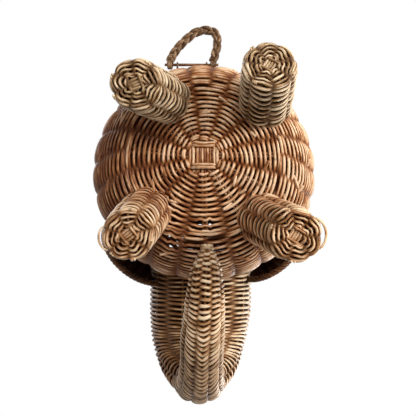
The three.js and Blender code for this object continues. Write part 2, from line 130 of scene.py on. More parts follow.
# Bars that frame the crossed canes: two on each side, their half length, and their depth in canes
SLATH_BARS = (
    {"upright": False, "near": 10.3 * MM, "far": 13.7 * MM, "half": 14 * MM, "depth": 0.45},
    {"upright": True, "near": 11.6 * MM, "far": 15.3 * MM, "half": 12 * MM, "depth": 0.9},
)
BAR_DIP = 3.5 * MM
BAR_DIPS_FROM = 0.75
BAR_BOW = 0.7 * MM

# Canes laid round the inner side of the stakes, by their run from the base centre
INNER_RINGS = (12.6 * MM, BASE_START - 2.5 * MM, WALL_START - 2 * MM)
RING_WIDER = 1.5

# The spokes of the base aren't spread evenly: they are turned by a mean angle and crowd to one side, from
# the edge of the crossed canes outward
SPOKE_TURN = math.radians(2.0)
SPOKE_DRIFT = math.radians(4.1)
SPOKE_CROWD = math.radians(140.5)
SPOKE_TURNED = (SLATH_HALF, 4 * SLATH_HALF)

# Rows lie wider apart towards the head than towards the tail, and even out up the wall
ROW_ECCENTRIC = 0.085
ROW_EVEN_FROM = BASE_RADIUS
ROW_EVEN_AT = 200 * MM

# Weave: how long a weaver stays in front of a stake, how deep it bends, how far rows stray and sway, how
# much wider it is pressed on the inner side and where rows spread, and how uneven its swing and girth are
WEAVE_SNAP = 1.6
WEAVE_DEPTH = 0.85
ROW_STRAY = 0.04
ROW_SWAY = 0.5 * MM
INNER_WIDER = 0.6
BODY_WIDEST = 1.08
HEAD_WIDEST = 1.4
UNEVEN_ROOM = 0.06

# What a woven skin has unless it says otherwise: the angle of its first stake, the corners of a weaver's
# section, where its weavers swing less (from, to, share), the share of painted shade kept out of its
# hollows, and how wide its weavers are pressed where rows spread
WEAVE_DEFAULTS = {"first": 0.0, "sides": 6, "eased": (0.0, MM, 1.0), "clean": 0.0, "widest": 1.0}
WALL_EASED = (WALL_START, WALL_START + 50 * MM, 0.42)

# Slow strays: the rates of four sines, how fast rows, swings and girths stray, and the waves that rows
# share (times round, change along the run, phase). The sum of four waves is divided by its usual height
WANDER_RATES = (0.73, 1.31, 2.17, 3.79)
STRAY_RATE = 2.3
SWELL_RATE = 0.9
GIRTH_RATE = 1.7
SWAY_WAVES = ((2, 45.0, 0.4), (3, -70.0, 1.9), (5, 95.0, 4.2), (8, -60.0, 2.6))
FOUR_WAVES = 2.4

# Places where the rows of the body stand apart and daylight shows: angle from the head, run from the
# base centre in millimetres. Rows move apart by the shift, which fades over the width and some half rows
LOOSE_PLACES = (
    (-4, 78), (4, 78), (25, 77.5), (40, 66), (13, 88), (14, 96), (17, 104), (23, 98), (22, 107),
)
LOOSE_SHIFT = 3.2 * MM
LOOSE_WIDTH = math.radians(1.6)
LOOSE_HALF_ROW = 2 * MM
LOOSE_HALF_ROWS = 4

# Cut ends of weavers that stick out of the body: angle from the head, run from the base centre in
# millimetres. Then their length in millimetres, slope, depth at the root, rise and girth
BASE_SPLICES = (
    (118, 70), (131, 52), (62, 66), (70, 48), (27, 62), (42, 58), (-28, 64), (-40, 60), (-52, 72),
    (203, 66), (168, 48), (240, 60), (285, 72), (300, 45),
)
WALL_SPLICES = (
    (-80, 110), (-72, 121), (-65, 104), (-90, 133), (78, 116), (95, 128), (110, 108), (20, 118),
    (-18, 126), (165, 112), (196, 124), (142, 150), (-130, 140), (60, 170), (-50, 188), (100, 215),
    (-105, 236), (180, 200),
)
SPLICE_LENGTH = (9, 15)
SPLICE_STEEP = (0.2, 0.9)
SPLICE_SLOPE = 0.6
SPLICE_LEAST_RUN = 30 * MM
SPLICE_DEPTH = 4.2 * MM
SPLICE_RISE = 4.4 * MM
SPLICE_GIRTH = 0.46

# Legs: root angle round the base from the head, reach of the root, lean of the foot, foot diameter, tilt
LEGS = {
    "leg_front_left": {"side": 1, "angle": 45, "reach": 4, "lean": (10, -22), "foot": 54, "tilt": 0},
    "leg_front_right": {"side": -1, "angle": 43, "reach": 11, "lean": (-26, -15), "foot": 56, "tilt": 0},
    "leg_rear_left": {"side": 1, "angle": 146, "reach": -12, "lean": (26, 1.5), "foot": 53, "tilt": 0},
    "leg_rear_right": {"side": -1, "angle": 131, "reach": 4, "lean": (2, 26.5), "foot": 57, "tilt": 22},
}
LEG_STAKES = 7
LEG_FLARE = 0.04
LEG_CORNER = 6.5 * MM
LEG_FULLER = 1.1 * MM
LEG_ROOT = 112 * MM
LEG_SUNK = 5 * MM
LEG_SPARE_TURNS = 4
LEG_STAKE_START = 4 * MM
LEG_SEED = 300

# Soles: the crossed canes in the middle, where the first row lies, and how the weave eases to the edge
SOLE_HEART = 7.5 * MM
HEART_CANES = 4
HEART_GAP = 0.95
HEART_HALF = 0.8
HEART_BAR_HALF = 1.05
HEART_BAR_PLACE = 0.82
HEART_DEPTH = 0.9
HEART_BAR_DEPTH = 0.5
HEART_BURIED = 1.2 * MM
HEART_TURN = 0.5
NEXT_HEART_TURN = 1.1
SOLE_FIRST_ROW = 0.7
SOLE_EASED = 0.6
SOLE_EASED_FROM = 2 * MM

# Shares of a sole's rounded edge: where its weave ends, where cut stakes stand out and weavers spring off
EDGE_CHANGE = 0.6
EDGE_STUBS = 0.5
EDGE_SPRUNG = 0.75

# Cut stakes at the edge of a sole: how many pairs, root depth, how far they stand out in millimetres
SOLE_STUBS = 3
STUB_DEPTH = 4 * MM
STUB_REACH = (0.3, 1.6)
STUB_LEAN = 1.5 * MM
STUB_TURN = 0.3
STUB_GIRTH = 0.9

# Weavers that have sprung off a sole: angle, half width of the arc, how far it stands off, diameter
LOOSE_STRANDS = {
    "leg_front_left": (55, 27, 2.6 * MM, 2.3 * MM),
    "leg_front_right": (-33, 34, 2.4 * MM, 2.9 * MM),
}
SPRUNG_DEPTH = 2 * MM

# Head and trunk: forward, side, up, half width and half height at each station, in millimetres
HEAD_STATIONS = np.array([
    (-36, 5, 53, 69, 54),
    (32, 5, 53, 69.5, 54),
    (84, 7, 49, 64.5, 48),
    (115, 7, 33, 52.5, 37),
    (126, 6, 5, 36, 30),
    (114, 4, -24, 28, 27),
    (86, 2.5, -52, 26, 26),
    (52, 1, -75, 25.5, 25.5),
    (14, -1.5, -91, 23, 23),
    (-20, -3, -95, 19, 18),
    (-46, -4, -91, 8, 8),
]) * MM
TRUNK_STATION = 4
HEAD_STAKES = 9
HEAD_SUNK = 4.5 * MM
HEAD_PLACES = 1200

# Rows of the trunk: how far they run ahead at its sides, how sharp the ridge is where they meet, where the
# slant begins at the bend and ends before the tip, and how much closer they lie towards the tip
TRUNK_SLANT = 20 * MM
TRUNK_RIDGE = 0.05
SLANT_BEGINS = (-30 * MM, 50 * MM)
SLANT_ENDS = (-125 * MM, -45 * MM)
TRUNK_CROWDING = 0.18

# A second weaver fills the rows that are spread by more than this, at a share of a row
TWINED_FROM = 1.42
TWIN_START = 0.4

# Tip of the trunk: the weave has less room towards it, rows and stakes end a little short of it, and a
# bundle of cut canes is bound there
TIP_TAPER = 40 * MM
TIP_ROOM = 0.72
SLANT_SHORT = 0.5 * MM
ROWS_SHORT = 1.5 * MM
STAKES_SHORT = 1 * MM
NEAR_TIP = 0.995
TIP_RADIUS = 6 * MM
TIP_HEIGHT = 6 * MM
TIP_CANES = 6
TIP_CANE = 0.36
TIP_ROOT = 3 * MM
TIP_BARED = 0.9
BINDING_TURNS = 2
BINDING_CANE = 1.2 * MM
BINDING_RISE = 2.6 * MM
BINDING_OFF = 0.4 * MM

# Ears: ovals bent round the body, cut off where they meet the oval of the head
EAR_HALF_LENGTH = 53 * MM
EAR_HALF_HEIGHT = 48 * MM
EAR_UP = 50 * MM
EAR_OUT = {1: 9.5 * MM, -1: 5 * MM}
EAR_LEAN = 0.2
EAR_FRONT = 53 * MM
EAR_STAKE_GAP = 12 * MM
EAR_ROW = 2.75 * MM
EAR_DEPTH = 0.8
EAR_HOOP = 8 * MM
HOOP_CANES = 3
HOOP_TWISTS = 22
HEAD_ROOM = 0.96
HEAD_BACK = 40 * MM

# Tail: a plaited loop that turns on a rod, which two ties hold to the wall
TAIL_Z = BELLY_TOP + 45 * MM
TAIL_OUT = BELLY_DEPTH + 18.5 * MM
TAIL_ROD = 3.6 * MM
TAIL_ROD_ENDS = (-19 * MM, 53 * MM)
ROD_UNEVEN = 0.06
ROD_WAVES = 90
TAIL_EYE = 13 * MM
TAIL_EYE_LENGTH = 9 * MM
EYE_CANE = 3 * MM
EYE_TURNS = 3
EYE_INSET = 1.6 * MM
TAIL_TIES = {"tail_tie_left": 36 * MM, "tail_tie_right": -3 * MM}
TIE_CANE = 2.1 * MM
TIE_GAP = 1.2 * MM
TIE_BURIED = 3 * MM
TIE_PINCH = 0.35
TIE_SHIFT = 0.8 * MM
TAIL_LOOP = np.array([
    (46, 5), (42, 13), (35, 23), (24, 34), (12, 43),
    (-3, 46.3), (-14.5, 42), (-17.5, 30), (-15, 16), (-12, 5),
]) * MM

# Plait of the tail: its strands of two canes, the length of one turn, how far a strand sways and dips, how
# far the two canes of a strand follow each other, as a turn, and a cane's diameter
PLAIT_STRANDS = 3
PLAIT_PERIOD = 36 * MM
PLAIT_SWAY = 3.7 * MM
PLAIT_DIP = 2.5 * MM
PLAIT_PAIR = 0.24
PLAIT_CANE = 4.7 * MM

# The frame's origin lies under the middle of the whole basket, behind the belly's own centre
ROD_LOW, ROD_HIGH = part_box("tail_rod")
FRAME_Y = (ROD_LOW.y + ROD_HIGH.y) / 2 - TAIL_OUT

# Patterns on the skin of a cane: bumps in a metre across it and along it, and detail
SKIN_PATTERNS = {
    "long_tone": (40, 9, 3.0),
    "short_tone": (120, 60, 2.0),
    "fibres": (1500, 45, 4.0),
    "flecks": (500, 160, 2.0),
}
PATCHES_IN_METRE = 22

# How each pattern wears the skin: the values between which it works, and the wear it adds at the upper one.
# The hidden-skin mask doesn't wear it: it paints highlight on the crowns and shade on the hidden sides
WEAR_AND_LIGHT_RANGES = {
    "long_tone": (0.38, 0.66, 0.25),
    "short_tone": (0.34, 0.66, 0.3),
    "patches": (0.35, 0.65, 0.12),
    "fibres": (0.35, 0.65, 0.25),
    # Painted highlight on the crowns of the canes and painted shade on their hidden sides
    "shade_mask": (0.0, 0.4, -0.45),
}
HONEY_WEAR = (-0.1, 0.55)
PALE_WEAR = (0.42, 1.0)

# Painted light and shade by side: the cane is painted paler on the animal's right side, where the light
# falls, and darker and browner on its left, in shade, most of all at the far left
SIDE_LIGHT_SPAN = 120 * MM
LIT_RIGHT = 0.3
SHADED_LEFT = -0.2
DEEPEST_SHADE_LEFT = (75 * MM, 125 * MM, -0.3)

# Stains, painted shade and relief of a cane: joints, flecks, painted shade in the hollows of the weave
# (a little patchy), fibres and sheen. A range is told by the values it is read between and then by what
# they become
JOINTS_IN_METRE = 4.3
JOINT_HALF = 0.012
JOINT_STAIN = 0.55
FLECK_STAIN = (0.62, 0.74, 0.45)
# Painted shade in the hollows: the hidden share over which it comes in, and how patchy it is
HOLLOW_SHADE_RANGE = (0.27, 0.8)
HOLLOW_SHADE_PATCHES = (0.3, 0.7, 0.85, 1.0)
SMOOTH_FIBRES = (0.3, 0.7, 0.24, 0.44)
FLECK_HEIGHT = 0.5
FIBRE_STRENGTH = 0.35
FIBRE_HEIGHT = 0.25 * MM
SHEEN = 0.36
SHEEN_TINT = (1.0, 0.86, 0.70, 1.0)

# Stage: lamps by place, size, watts and tint. Those under the floor light the view from below, the
# stronger one on the picture's right, and those over it light the other views
LAMPS = {
    "lamp_under_key": ((-1.15, 0.5, -0.6), 0.3, 18, (1.0, 0.98, 0.95)),
    "lamp_under_front": ((-0.2, 0.65, -1.05), 0.3, 8, (1.0, 0.98, 0.96)),
    "lamp_over_key": ((-2.0, -1.8, 2.2), 1.8, 75, (1.0, 0.98, 0.95)),
    "lamp_over_fill": ((2.2, 1.6, 2.4), 2.2, 45, (0.97, 0.98, 1.0)),
}
LAMP_AIM = (0, 0.02, 0.12)
WHITE = (1, 1, 1, 1)
AMBIENT = 0.25
FLOOR_DROP = 0.6 * MM
FLOOR_RADIUS = 4
FLOOR_CORNERS = 64
FLOOR_FADE = (0.4, 1.8)
FLOOR_ROUGHNESS = 0.8
PHOTO_WIDTH = 416
PHOTO_FOCAL = 578
SENSOR = 36.0
CAMERA_PLACE = (-5 * MM, 2.2 * MM, -575 * MM)
CAMERA_NEAR = 10 * MM


def cane_size(name, description, millimetres):
    """A length of the weave that the panel shows in the scene's unit."""
    return bpy.props.FloatProperty(
        name=name, description=description, default=millimetres * MM,
        min=1 * MM, max=8 * MM, precision=4, unit="LENGTH")


class BasketSizes(bpy.types.PropertyGroup):
    """Cane sizes of the basket."""

    body_weaver: cane_size("Body weaver", "Diameter of the canes woven round the body", 3.6)
    body_stake: cane_size("Body stake", "Diameter of the canes that run up the body", 3.3)
    base_row: cane_size("Base row", "Distance from one row of the base to the next", 2.72)
    wall_row: cane_size("Wall row", "Distance from one row of the wall to the next", 2.8)
    leg_weaver: cane_size("Leg weaver", "Diameter of the canes woven round the legs", 4.1)
    leg_row: cane_size("Leg row", "Distance from one row of a leg to the next", 4.2)
    sole_weaver: cane_size("Sole weaver", "Diameter of the canes woven round the soles", 3.2)
    sole_row: cane_size("Sole row", "Distance from one row of a sole to the next", 2.4)
    head_weaver: cane_size("Head weaver", "Diameter of the canes woven round the head", 3.4)
    head_row: cane_size("Head row", "Distance from one row of the head to the next", 3.05)
    trunk_weaver: cane_size("Trunk weaver", "Diameter of the canes woven round the trunk", 4.1)
    trunk_row: cane_size("Trunk row", "Mean distance from one row of the trunk to the next", 3.15)
    ear_weaver: cane_size("Ear weaver", "Diameter of the canes woven across the ears", 3.0)
    thin_stake: cane_size("Thin stake", "Diameter of the canes along legs, head, trunk and ears", 2.9)
    unevenness: bpy.props.FloatProperty(
        name="Unevenness", description="How far the canes stray from an exact weave",
        default=1.0, min=0.0, max=3.0, subtype="FACTOR")


def colour_property(name, description, default):
    """A colour that the panel shows as it is seen on screen."""
    return bpy.props.FloatVectorProperty(
        name=name, description=description, default=default, min=0, max=1, size=3, subtype="COLOR_GAMMA")


class BasketColours(bpy.types.PropertyGroup):
    """Colours of the cane, as seen on screen."""

    # The unworn shades also give the painted shade on the hidden sides of the canes, and the pale shades the
    # painted highlight on their crowns and the painted light on the animal's right side
    chestnut: colour_property("Chestnut", "Unworn cane of the body", (0.42, 0.23, 0.115))
    chestnut_honey: colour_property("Chestnut honey", "Half worn cane of the body", (0.68, 0.47, 0.295))
    chestnut_pale: colour_property("Pale chestnut", "Worn cane of the body", (0.86, 0.735, 0.605))
    straw: colour_property("Straw", "Unworn cane of the rear legs and trunk tip", (0.38, 0.27, 0.165))
    straw_honey: colour_property(
        "Straw honey", "Half worn cane of the rear legs and trunk tip", (0.61, 0.49, 0.35))
    straw_pale: colour_property("Pale straw", "Worn cane of the rear legs and trunk tip", (0.87, 0.79, 0.67))
    tan: colour_property("Tan", "Unworn cane of head, trunk and front legs", (0.42, 0.27, 0.145))
    tan_honey: colour_property(
        "Tan honey", "Half worn cane of head, trunk and front legs", (0.66, 0.49, 0.33))
    tan_pale: colour_property("Pale tan", "Worn cane of head, trunk and front legs", (0.88, 0.785, 0.66))
    umber: colour_property("Umber", "Unworn cane of ears, rod and ties", (0.27, 0.16, 0.09))
    umber_honey: colour_property("Umber honey", "Half worn cane of ears, rod and ties", (0.37, 0.23, 0.135))
    umber_pale: colour_property("Pale umber", "Worn cane of ears, rod and ties", (0.50, 0.34, 0.21))
    # Driftwood is the tail's own colour; on the upper trunk, towards the forehead, it is painted shade
    drift: colour_property("Driftwood", "Unworn cane of tail and upper trunk", (0.34, 0.24, 0.16))
    drift_honey: colour_property(
        "Driftwood honey", "Half worn cane of tail and upper trunk", (0.50, 0.38, 0.27))
    drift_pale: colour_property("Pale driftwood", "Worn cane of tail and upper trunk", (0.66, 0.54, 0.42))
    # This colour darkens the joints and flecks, which are stains, and is also the painted shade in the
    # hollows of the weave
    grime: colour_property("Grime", "Dust and stain in the hollows of the weave", (0.13, 0.055, 0.025))
    floor: colour_property("Floor", "Floor of the stage", (0.90, 0.90, 0.89))


# Curves and canes


def unit(vectors):
    """Each vector divided by its own length."""
    return vectors / np.linalg.norm(vectors, axis=-1, keepdims=True)


def even_angles(count):
    """Angles that share a full turn evenly."""
    return FULL_TURN * np.arange(count) / count


def smooth_step(value, low, high):
    """0 below low, 1 above high, and an even S between them."""
    share = np.clip((value - low) / (high - low), 0, 1)
    return share * share * (3 - 2 * share)


def wander(place, seed):
    """A slow stray between about -1 and 1: four sines of unlike rates, with phases from the seed."""
    phases = np.random.default_rng(seed).uniform(0, FULL_TURN, len(WANDER_RATES))
    return sum(np.sin(rate * place + phase) for rate, phase in zip(WANDER_RATES, phases)) / FOUR_WAVES


def wanders(place, seeds):
    """One slow stray for each seed."""
    return np.stack([wander(place, seed) for seed in seeds])


def sway(run, angle):
    """How neighbouring rows stray together, between about -1 and 1: waves that close round the skin and
    shift slowly from row to row."""
    waves = (np.sin(times * angle + rate * run + phase) for times, rate, phase in SWAY_WAVES)
    return sum(waves) / FOUR_WAVES


def through_stations(stations, place):
    """Smooth curve through the stations, which share place 0 to 1 evenly: a cubic between each two, whose
    slopes are weighed by the square root of the distances to their neighbours."""
    before = [2 * stations[0] - stations[1]]
    after = [2 * stations[-1] - stations[-2]]
    padded = np.concatenate([before, stations, after])
    spot = np.clip(place, 0, 1) * (len(stations) - 1)
    index = np.minimum(spot.astype(int), len(stations) - 2)
    share = (spot - index)[..., None]
    a, b, c, d = (padded[index + k] for k in range(4))
    steps = (b - a, c - b, d - c)
    ab, bc, cd = (np.sqrt(np.linalg.norm(step, axis=-1, keepdims=True)) for step in steps)
    leave = bc * ((b - a) / ab - (c - a) / (ab + bc) + (c - b) / bc)
    arrive = bc * ((c - b) / bc - (d - b) / (bc + cd) + (d - c) / cd)
    square = -3 * b + 3 * c - 2 * leave - arrive
    cube = 2 * b - 2 * c + leave + arrive
    return b + share * (leave + share * (square + share * cube))


def laid(surface, run, angle, inset):
    """Paths at given places of a skin, and the direction straight out of the skin along them."""
    run, angle, inset = np.broadcast_arrays(run, angle, inset)
    path = surface(run, angle, inset)
    return path, path - surface(run, angle, inset + MM)


def cane_rings(path, facing, radius, sides, closed, wide):
    """Rings of corners square to the paths, the first corner of each ring turned towards facing:
    corner = point + radius (up cos a + wide side sin a)."""
    if closed:
        along = np.roll(path, -1, axis=1) - np.roll(path, 1, axis=1)
    else:
        along = np.gradient(path, axis=1)
    along = unit(along)
    side = unit(np.cross(facing, along))
    up = np.cross(along, side)
    side = side * wide[:, :, None]
    turn = even_angles(sides)
    ring = up[:, :, None] * np.cos(turn)[:, None] + side[:, :, None] * np.sin(turn)[:, None]
    return path[:, :, None] + radius[:, :, None, None] * ring


def cane_faces(keep, sides, closed):
    """Quads between neighbouring rings that are both kept, and a flat end where each run of rings begins
    and ends. keep is strands by points."""
    first_corner = np.arange(keep.size).reshape(keep.shape) * sides
    following = np.roll(first_corner, -1, axis=1)
    joined = keep & np.roll(keep, -1, axis=1)
    if not closed:
        joined[:, -1] = False
    begins = joined & ~np.roll(joined, 1, axis=1)
    ends = joined & ~np.roll(joined, -1, axis=1)
    here = first_corner[joined][:, None]
    there = following[joined][:, None]
    corner = np.arange(sides)
    beside = (corner + 1) % sides
    quads = np.stack([here + corner, there + corner, there + beside, here + beside], axis=-1)
    caps = np.concatenate([
        first_corner[begins][:, None] + corner,
        following[ends][:, None] + corner[::-1],
    ])
    return quads.reshape(-1, 4), caps


def cane(path, facing, radius, sides=6, keep=None, closed=False, strand=0.0, grime=0.0, cover=None,
         wide=1.0):
    """Round canes carried along paths, which are strands by points by 3.

    Rings that keep leaves out are dropped, and each run that is left is closed by a flat end. Every corner
    carries its place on the cane's skin, the number of its strand and its share of painted shade. cover
    tells how far a cane lies towards the outside of a weave, from -1 to 1: the skin that other canes
    hide, and the sides of the cane, are painted with shade. Without cover the cane takes the given share
    all over.
    """
    places = path.shape[:2]
    shape = (*places, sides)
    radius = np.broadcast_to(radius, places)
    corners = cane_rings(path, facing, radius, sides, closed, np.broadcast_to(wide, places))
    quads, caps = cane_faces(np.ones(places, bool) if keep is None else keep, sides, closed)

    turn = even_angles(sides)
    step = np.linalg.norm(np.diff(path, axis=1), axis=-1)
    skin = np.zeros(corners.shape)
    skin[..., 0] = radius[:, :, None] * np.cos(turn)
    skin[..., 1] = radius[:, :, None] * np.sin(turn)
    skin[:, 1:, :, 2] = np.cumsum(step, axis=1)[:, :, None]
    number = np.broadcast_to(np.reshape(strand, (-1, 1, 1)), shape)
    # Painted shade: one share for the whole cane, or, with cover, more on its sides and on skin hidden by
    # other canes
    shade_mask = np.broadcast_to(np.broadcast_to(grime, places)[:, :, None], shape)
    if cover is not None:
        shade_mask = 0.5 - 0.5 * cover[:, :, None] * np.cos(turn)

    used = np.zeros(math.prod(shape), bool)
    used[quads.ravel()] = True
    renumber = np.cumsum(used) - 1
    return {
        "corners": corners.reshape(-1, 3)[used],
        "faces": [renumber[quads], renumber[caps]],
        "skin": skin.reshape(-1, 3)[used],
        "strand": number.ravel()[used],
        "grime": shade_mask.ravel()[used],
    }


def linked(name, data):
    """A new object of the scene."""
    made = bpy.data.objects.new(name, data)
    bpy.context.scene.collection.objects.link(made)
    return made


def make_piece(name, canes, material, body, nodes):
    """One mesh object from a list of canes, riding on a body in place of CAD nodes."""
    offsets = np.cumsum([0] + [len(c["corners"]) for c in canes])
    faces = [face + offset for c, offset in zip(canes, offsets) for face in c["faces"]]
    loops = np.concatenate([face.ravel() for face in faces])
    counts = np.concatenate([np.full(len(face), face.shape[1]) for face in faces])
    smooth = np.concatenate([np.full(len(face), index % 2 == 0) for index, face in enumerate(faces)])
    corners = np.concatenate([c["corners"] for c in canes])

    mesh = bpy.data.meshes.new(name)
    mesh.vertices.add(len(corners))
    mesh.vertices.foreach_set("co", corners.astype(np.float32).ravel())
    mesh.loops.add(len(loops))
    mesh.loops.foreach_set("vertex_index", loops.astype(np.int32))
    mesh.polygons.add(len(counts))
    mesh.polygons.foreach_set("loop_start", (np.cumsum(counts) - counts).astype(np.int32))
    mesh.polygons.foreach_set("use_smooth", smooth)
    mesh.update(calc_edges=True)
    for key in ("skin", "strand", "grime"):
        values = np.concatenate([c[key] for c in canes]).astype(np.float32)
        kind, field = ("FLOAT", "value") if values.ndim == 1 else ("FLOAT_VECTOR", "vector")
        mesh.attributes.new(key, kind, "POINT").data.foreach_set(field, values.ravel())
    if mesh.validate():
        raise RuntimeError(f"{name} had faces that can't be used")
    mesh.materials.append(material)
    piece = linked(name, mesh)
    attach(piece, body)
    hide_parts(*nodes)
    return piece


def weave_of(stakes, start, row, weaver, stake, steps, seed, loose=1.0, **more):
    """Sizes of one woven skin. Its weavers swing by half a weaver and half a stake, less what they are
    pressed together. loose makes the rows of one skin stray more than those of the others, and more says
    where the skin isn't as WEAVE_DEFAULTS has it."""
    reach = (stake + weaver) / 2 * WEAVE_DEPTH
    uneven = bpy.context.scene.basket_sizes.unevenness * loose
    sizes = {"stakes": stakes, "start": start, "row": row, "weaver": weaver, "steps": steps, "seed": seed}
    return {**WEAVE_DEFAULTS, **sizes, "reach": reach, "uneven": uneven, **more}


def skin_reach(weave, run):
    """How far a weaver swings to either side of the middle of its skin: less where the skin is eased."""
    low, high, share = weave["eased"]
    return weave["reach"] * (share + (1 - share) * smooth_step(run, low, high))


def skin_middle(weave, run):
    """Depth of the middle of a skin, so that the outer side of its weavers lies about on its surface."""
    return (skin_reach(weave, run) + weave["weaver"] / 2) * (1 + UNEVEN_ROOM / 2 * weave["uneven"])


def woven(surface, weave, turns, keep=None, level=(0, 0)):
    """Weavers of a skin: spirals that pass in front of one stake and behind the next.

    After t turns a weaver is at angle 2 pi t, and its run along the skin is the start plus one row for
    each turn and weaver. Its distance from the middle of the skin is reach times the cosine of half the
    stake count times the angle from the first stake. An odd count alternates by itself from row to row;
    an even count takes two weavers, one row apart, whose cosines are opposite. A weaver is as wide as its
    row where the skin spreads the rows. keep tells from the path and that spread where a weaver is left
    in. level adds turns that don't climb before the start and after the end, so that the skin's edge is
    even.
    """
    count = weave["stakes"]
    spirals = 2 - count % 2
    first, last = turns[0] - level[0], turns[1] + level[1]
    steps = int(round((last - first) * count * weave["steps"])) + 1
    turn = np.linspace(first, last, steps)
    climbed = np.clip(turn, turns[0], turns[1])
    around = FULL_TURN * turn
    angle = np.tile(around, (spirals, 1))
    number = np.arange(spirals)[:, None]
    uneven = weave["uneven"]
    seeds = weave["seed"] + 10 * np.arange(spirals)
    stray = wanders(STRAY_RATE * around, seeds)
    swell = 1 + UNEVEN_ROOM * uneven * wanders(SWELL_RATE * around, seeds + 1)
    girth = 1 + UNEVEN_ROOM * uneven * wanders(GIRTH_RATE * around, seeds + 2)

    run = weave["start"] + weave["row"] * (number + spirals * climbed + ROW_STRAY * uneven * stray)
    run = run + ROW_SWAY * uneven * sway(run, angle)
    wave = np.cos(count * (angle - weave["first"]) / 2 + math.pi * number)
    wave = np.tanh(WEAVE_SNAP * wave) / math.tanh(WEAVE_SNAP)
    inset = skin_middle(weave, run) - skin_reach(weave, run) * swell * wave
    path, facing = laid(surface, run, angle, inset)
    spread = np.linalg.norm(surface(run + weave["row"], angle, inset) - path, axis=-1) / weave["row"]
    kept = None if keep is None else keep(path, spread)
    wide = np.clip(spread, 1, weave["widest"]) + INNER_WIDER * (1 - wave) / 2
    # Painted shade follows cover: none on the crown where a weaver passes in front of a stake, most where it
    # passes behind, less by the share that the skin spares
    cover = 1 - (1 - weave["clean"]) * (1 - wave)
    radius = weave["weaver"] / 2 * girth
    return cane(
        path, facing, radius, sides=weave["sides"], keep=kept, strand=seeds * 0.173, cover=cover, wide=wide)


def lengthwise(surface, run, angle, inset, diameter, keep, seed, grime=0.55):
    """Stakes of a skin: canes along lines of given run, angle and inset, each strands by points, painted
    with one share of shade all along.
    """
    path, facing = laid(surface, run, angle, inset)
    numbers = seed + 0.37 * np.arange(len(path))
    return cane(path, facing, diameter / 2, keep=keep(path), strand=numbers, grime=grime)


def plait(spine, across, seed):
    """Flat plait of strands of two canes along the spine: a strand sways from side to side as a sine and
    rises and dips as a sine of twice the turn, an even share of a turn after the one before it."""
    length = np.linalg.norm(np.diff(spine, axis=0), axis=-1).sum()
    turn = FULL_TURN * (length / PLAIT_PERIOD) * np.linspace(0, 1, len(spine))
    apart = np.add.outer(even_angles(PLAIT_STRANDS), [-PLAIT_PAIR, PLAIT_PAIR]).ravel()
    turn = turn[None] + apart[:, None]
    aside = PLAIT_SWAY * np.sin(turn)[..., None] * across
    dip = PLAIT_DIP * np.sin(2 * turn)[..., None] * UPWARD
    path = spine[None] + aside + dip
    numbers = seed + 0.41 * np.arange(len(apart))
    facing = np.broadcast_to(UPWARD, path.shape)
    return cane(path, facing, PLAIT_CANE / 2, sides=8, strand=numbers, grime=0.25)


# Surfaces of the body, legs, head and ears


def body_outline():
    """Half outline of the body's outer skin from the base centre to the rim: run, radius, height and the
    outward direction. The base is flat, the turn is a quarter ellipse, and the wall narrows as the square
    of its height."""
    flat = np.linspace(0, 1, FLAT_PLACES, endpoint=False)
    turn = np.linspace(0, math.pi / 2, TURN_PLACES, endpoint=False)
    rise = np.linspace(0, 1, RISE_PLACES)
    out = BELLY_RADIUS - BASE_RADIUS
    narrowing = BELLY_RADIUS - RIM_RADIUS
    height = BODY_HEIGHT - BELLY_HEIGHT
    radius = np.concatenate([
        BASE_RADIUS * flat,
        BASE_RADIUS + out * np.sin(turn),
        BELLY_RADIUS - narrowing * rise ** 2,
    ])
    level = LEG_HEIGHT + np.concatenate([
        0 * flat,
        BELLY_HEIGHT * (1 - np.cos(turn)),
        BELLY_HEIGHT + height * rise,
    ])
    sideways = np.concatenate([0 * flat, BELLY_HEIGHT * np.sin(turn), 1 + 0 * rise])
    upwards = np.concatenate([-1 + 0 * flat, -out * np.cos(turn), 2 * narrowing * rise / height])
    normal = unit(np.stack([sideways, upwards], axis=-1))
    run = np.concatenate([[0], np.cumsum(np.hypot(np.diff(radius), np.diff(level)))])
    return run, radius, level, normal[:, 0], normal[:, 1]


OUTLINE = body_outline()
WALL_RUN = OUTLINE[0][-1]


def turn_share(radius, height):
    """How far a point of the body has come round the turn: 0 on the base, 1 from the widest row upward."""
    out = np.maximum(0, radius - BASE_RADIUS) / (BELLY_RADIUS - BASE_RADIUS)
    below = np.maximum(0, BELLY_TOP - height) / BELLY_HEIGHT
    return np.sin(np.arctan2(out, below))


def body_point(run, angle, inset):
    """Point of the body at a run along its outline, an angle from the head and a depth in from its skin.
    The outline is turned round, flattened a little in depth at the belly and set back at the base."""
    radius = np.interp(run, OUTLINE[0], OUTLINE[1]) - inset * np.interp(run, OUTLINE[0], OUTLINE[3])
    height = np.interp(run, OUTLINE[0], OUTLINE[2]) - inset * np.interp(run, OUTLINE[0], OUTLINE[4])
    share = turn_share(radius, height)
    turned = smooth_step(run, *SPOKE_TURNED)
    real = angle + turned * (SPOKE_TURN + SPOKE_DRIFT * np.cos(angle - SPOKE_CROWD))
    deep = 1 + (BELLY_DEPTH / BELLY_RADIUS - 1) * share
    y = -radius * np.cos(real) * deep + BASE_SETBACK * (1 - share) + FRAME_Y
    return np.stack([radius * np.sin(real), y, height], axis=-1)


def loosened(run, angle):
    """The run with its rows pushed apart at the loose places of the body."""
    moved = run.copy()
    for degrees, place in LOOSE_PLACES:
        away = (run - place * MM) / LOOSE_HALF_ROW
        turn = np.remainder(angle - math.radians(degrees) + math.pi, FULL_TURN) - math.pi
        near = np.exp(-(turn / LOOSE_WIDTH) ** 2)
        moved += LOOSE_SHIFT * near * np.tanh(away) * np.exp(-(away / LOOSE_HALF_ROWS) ** 2)
    return moved


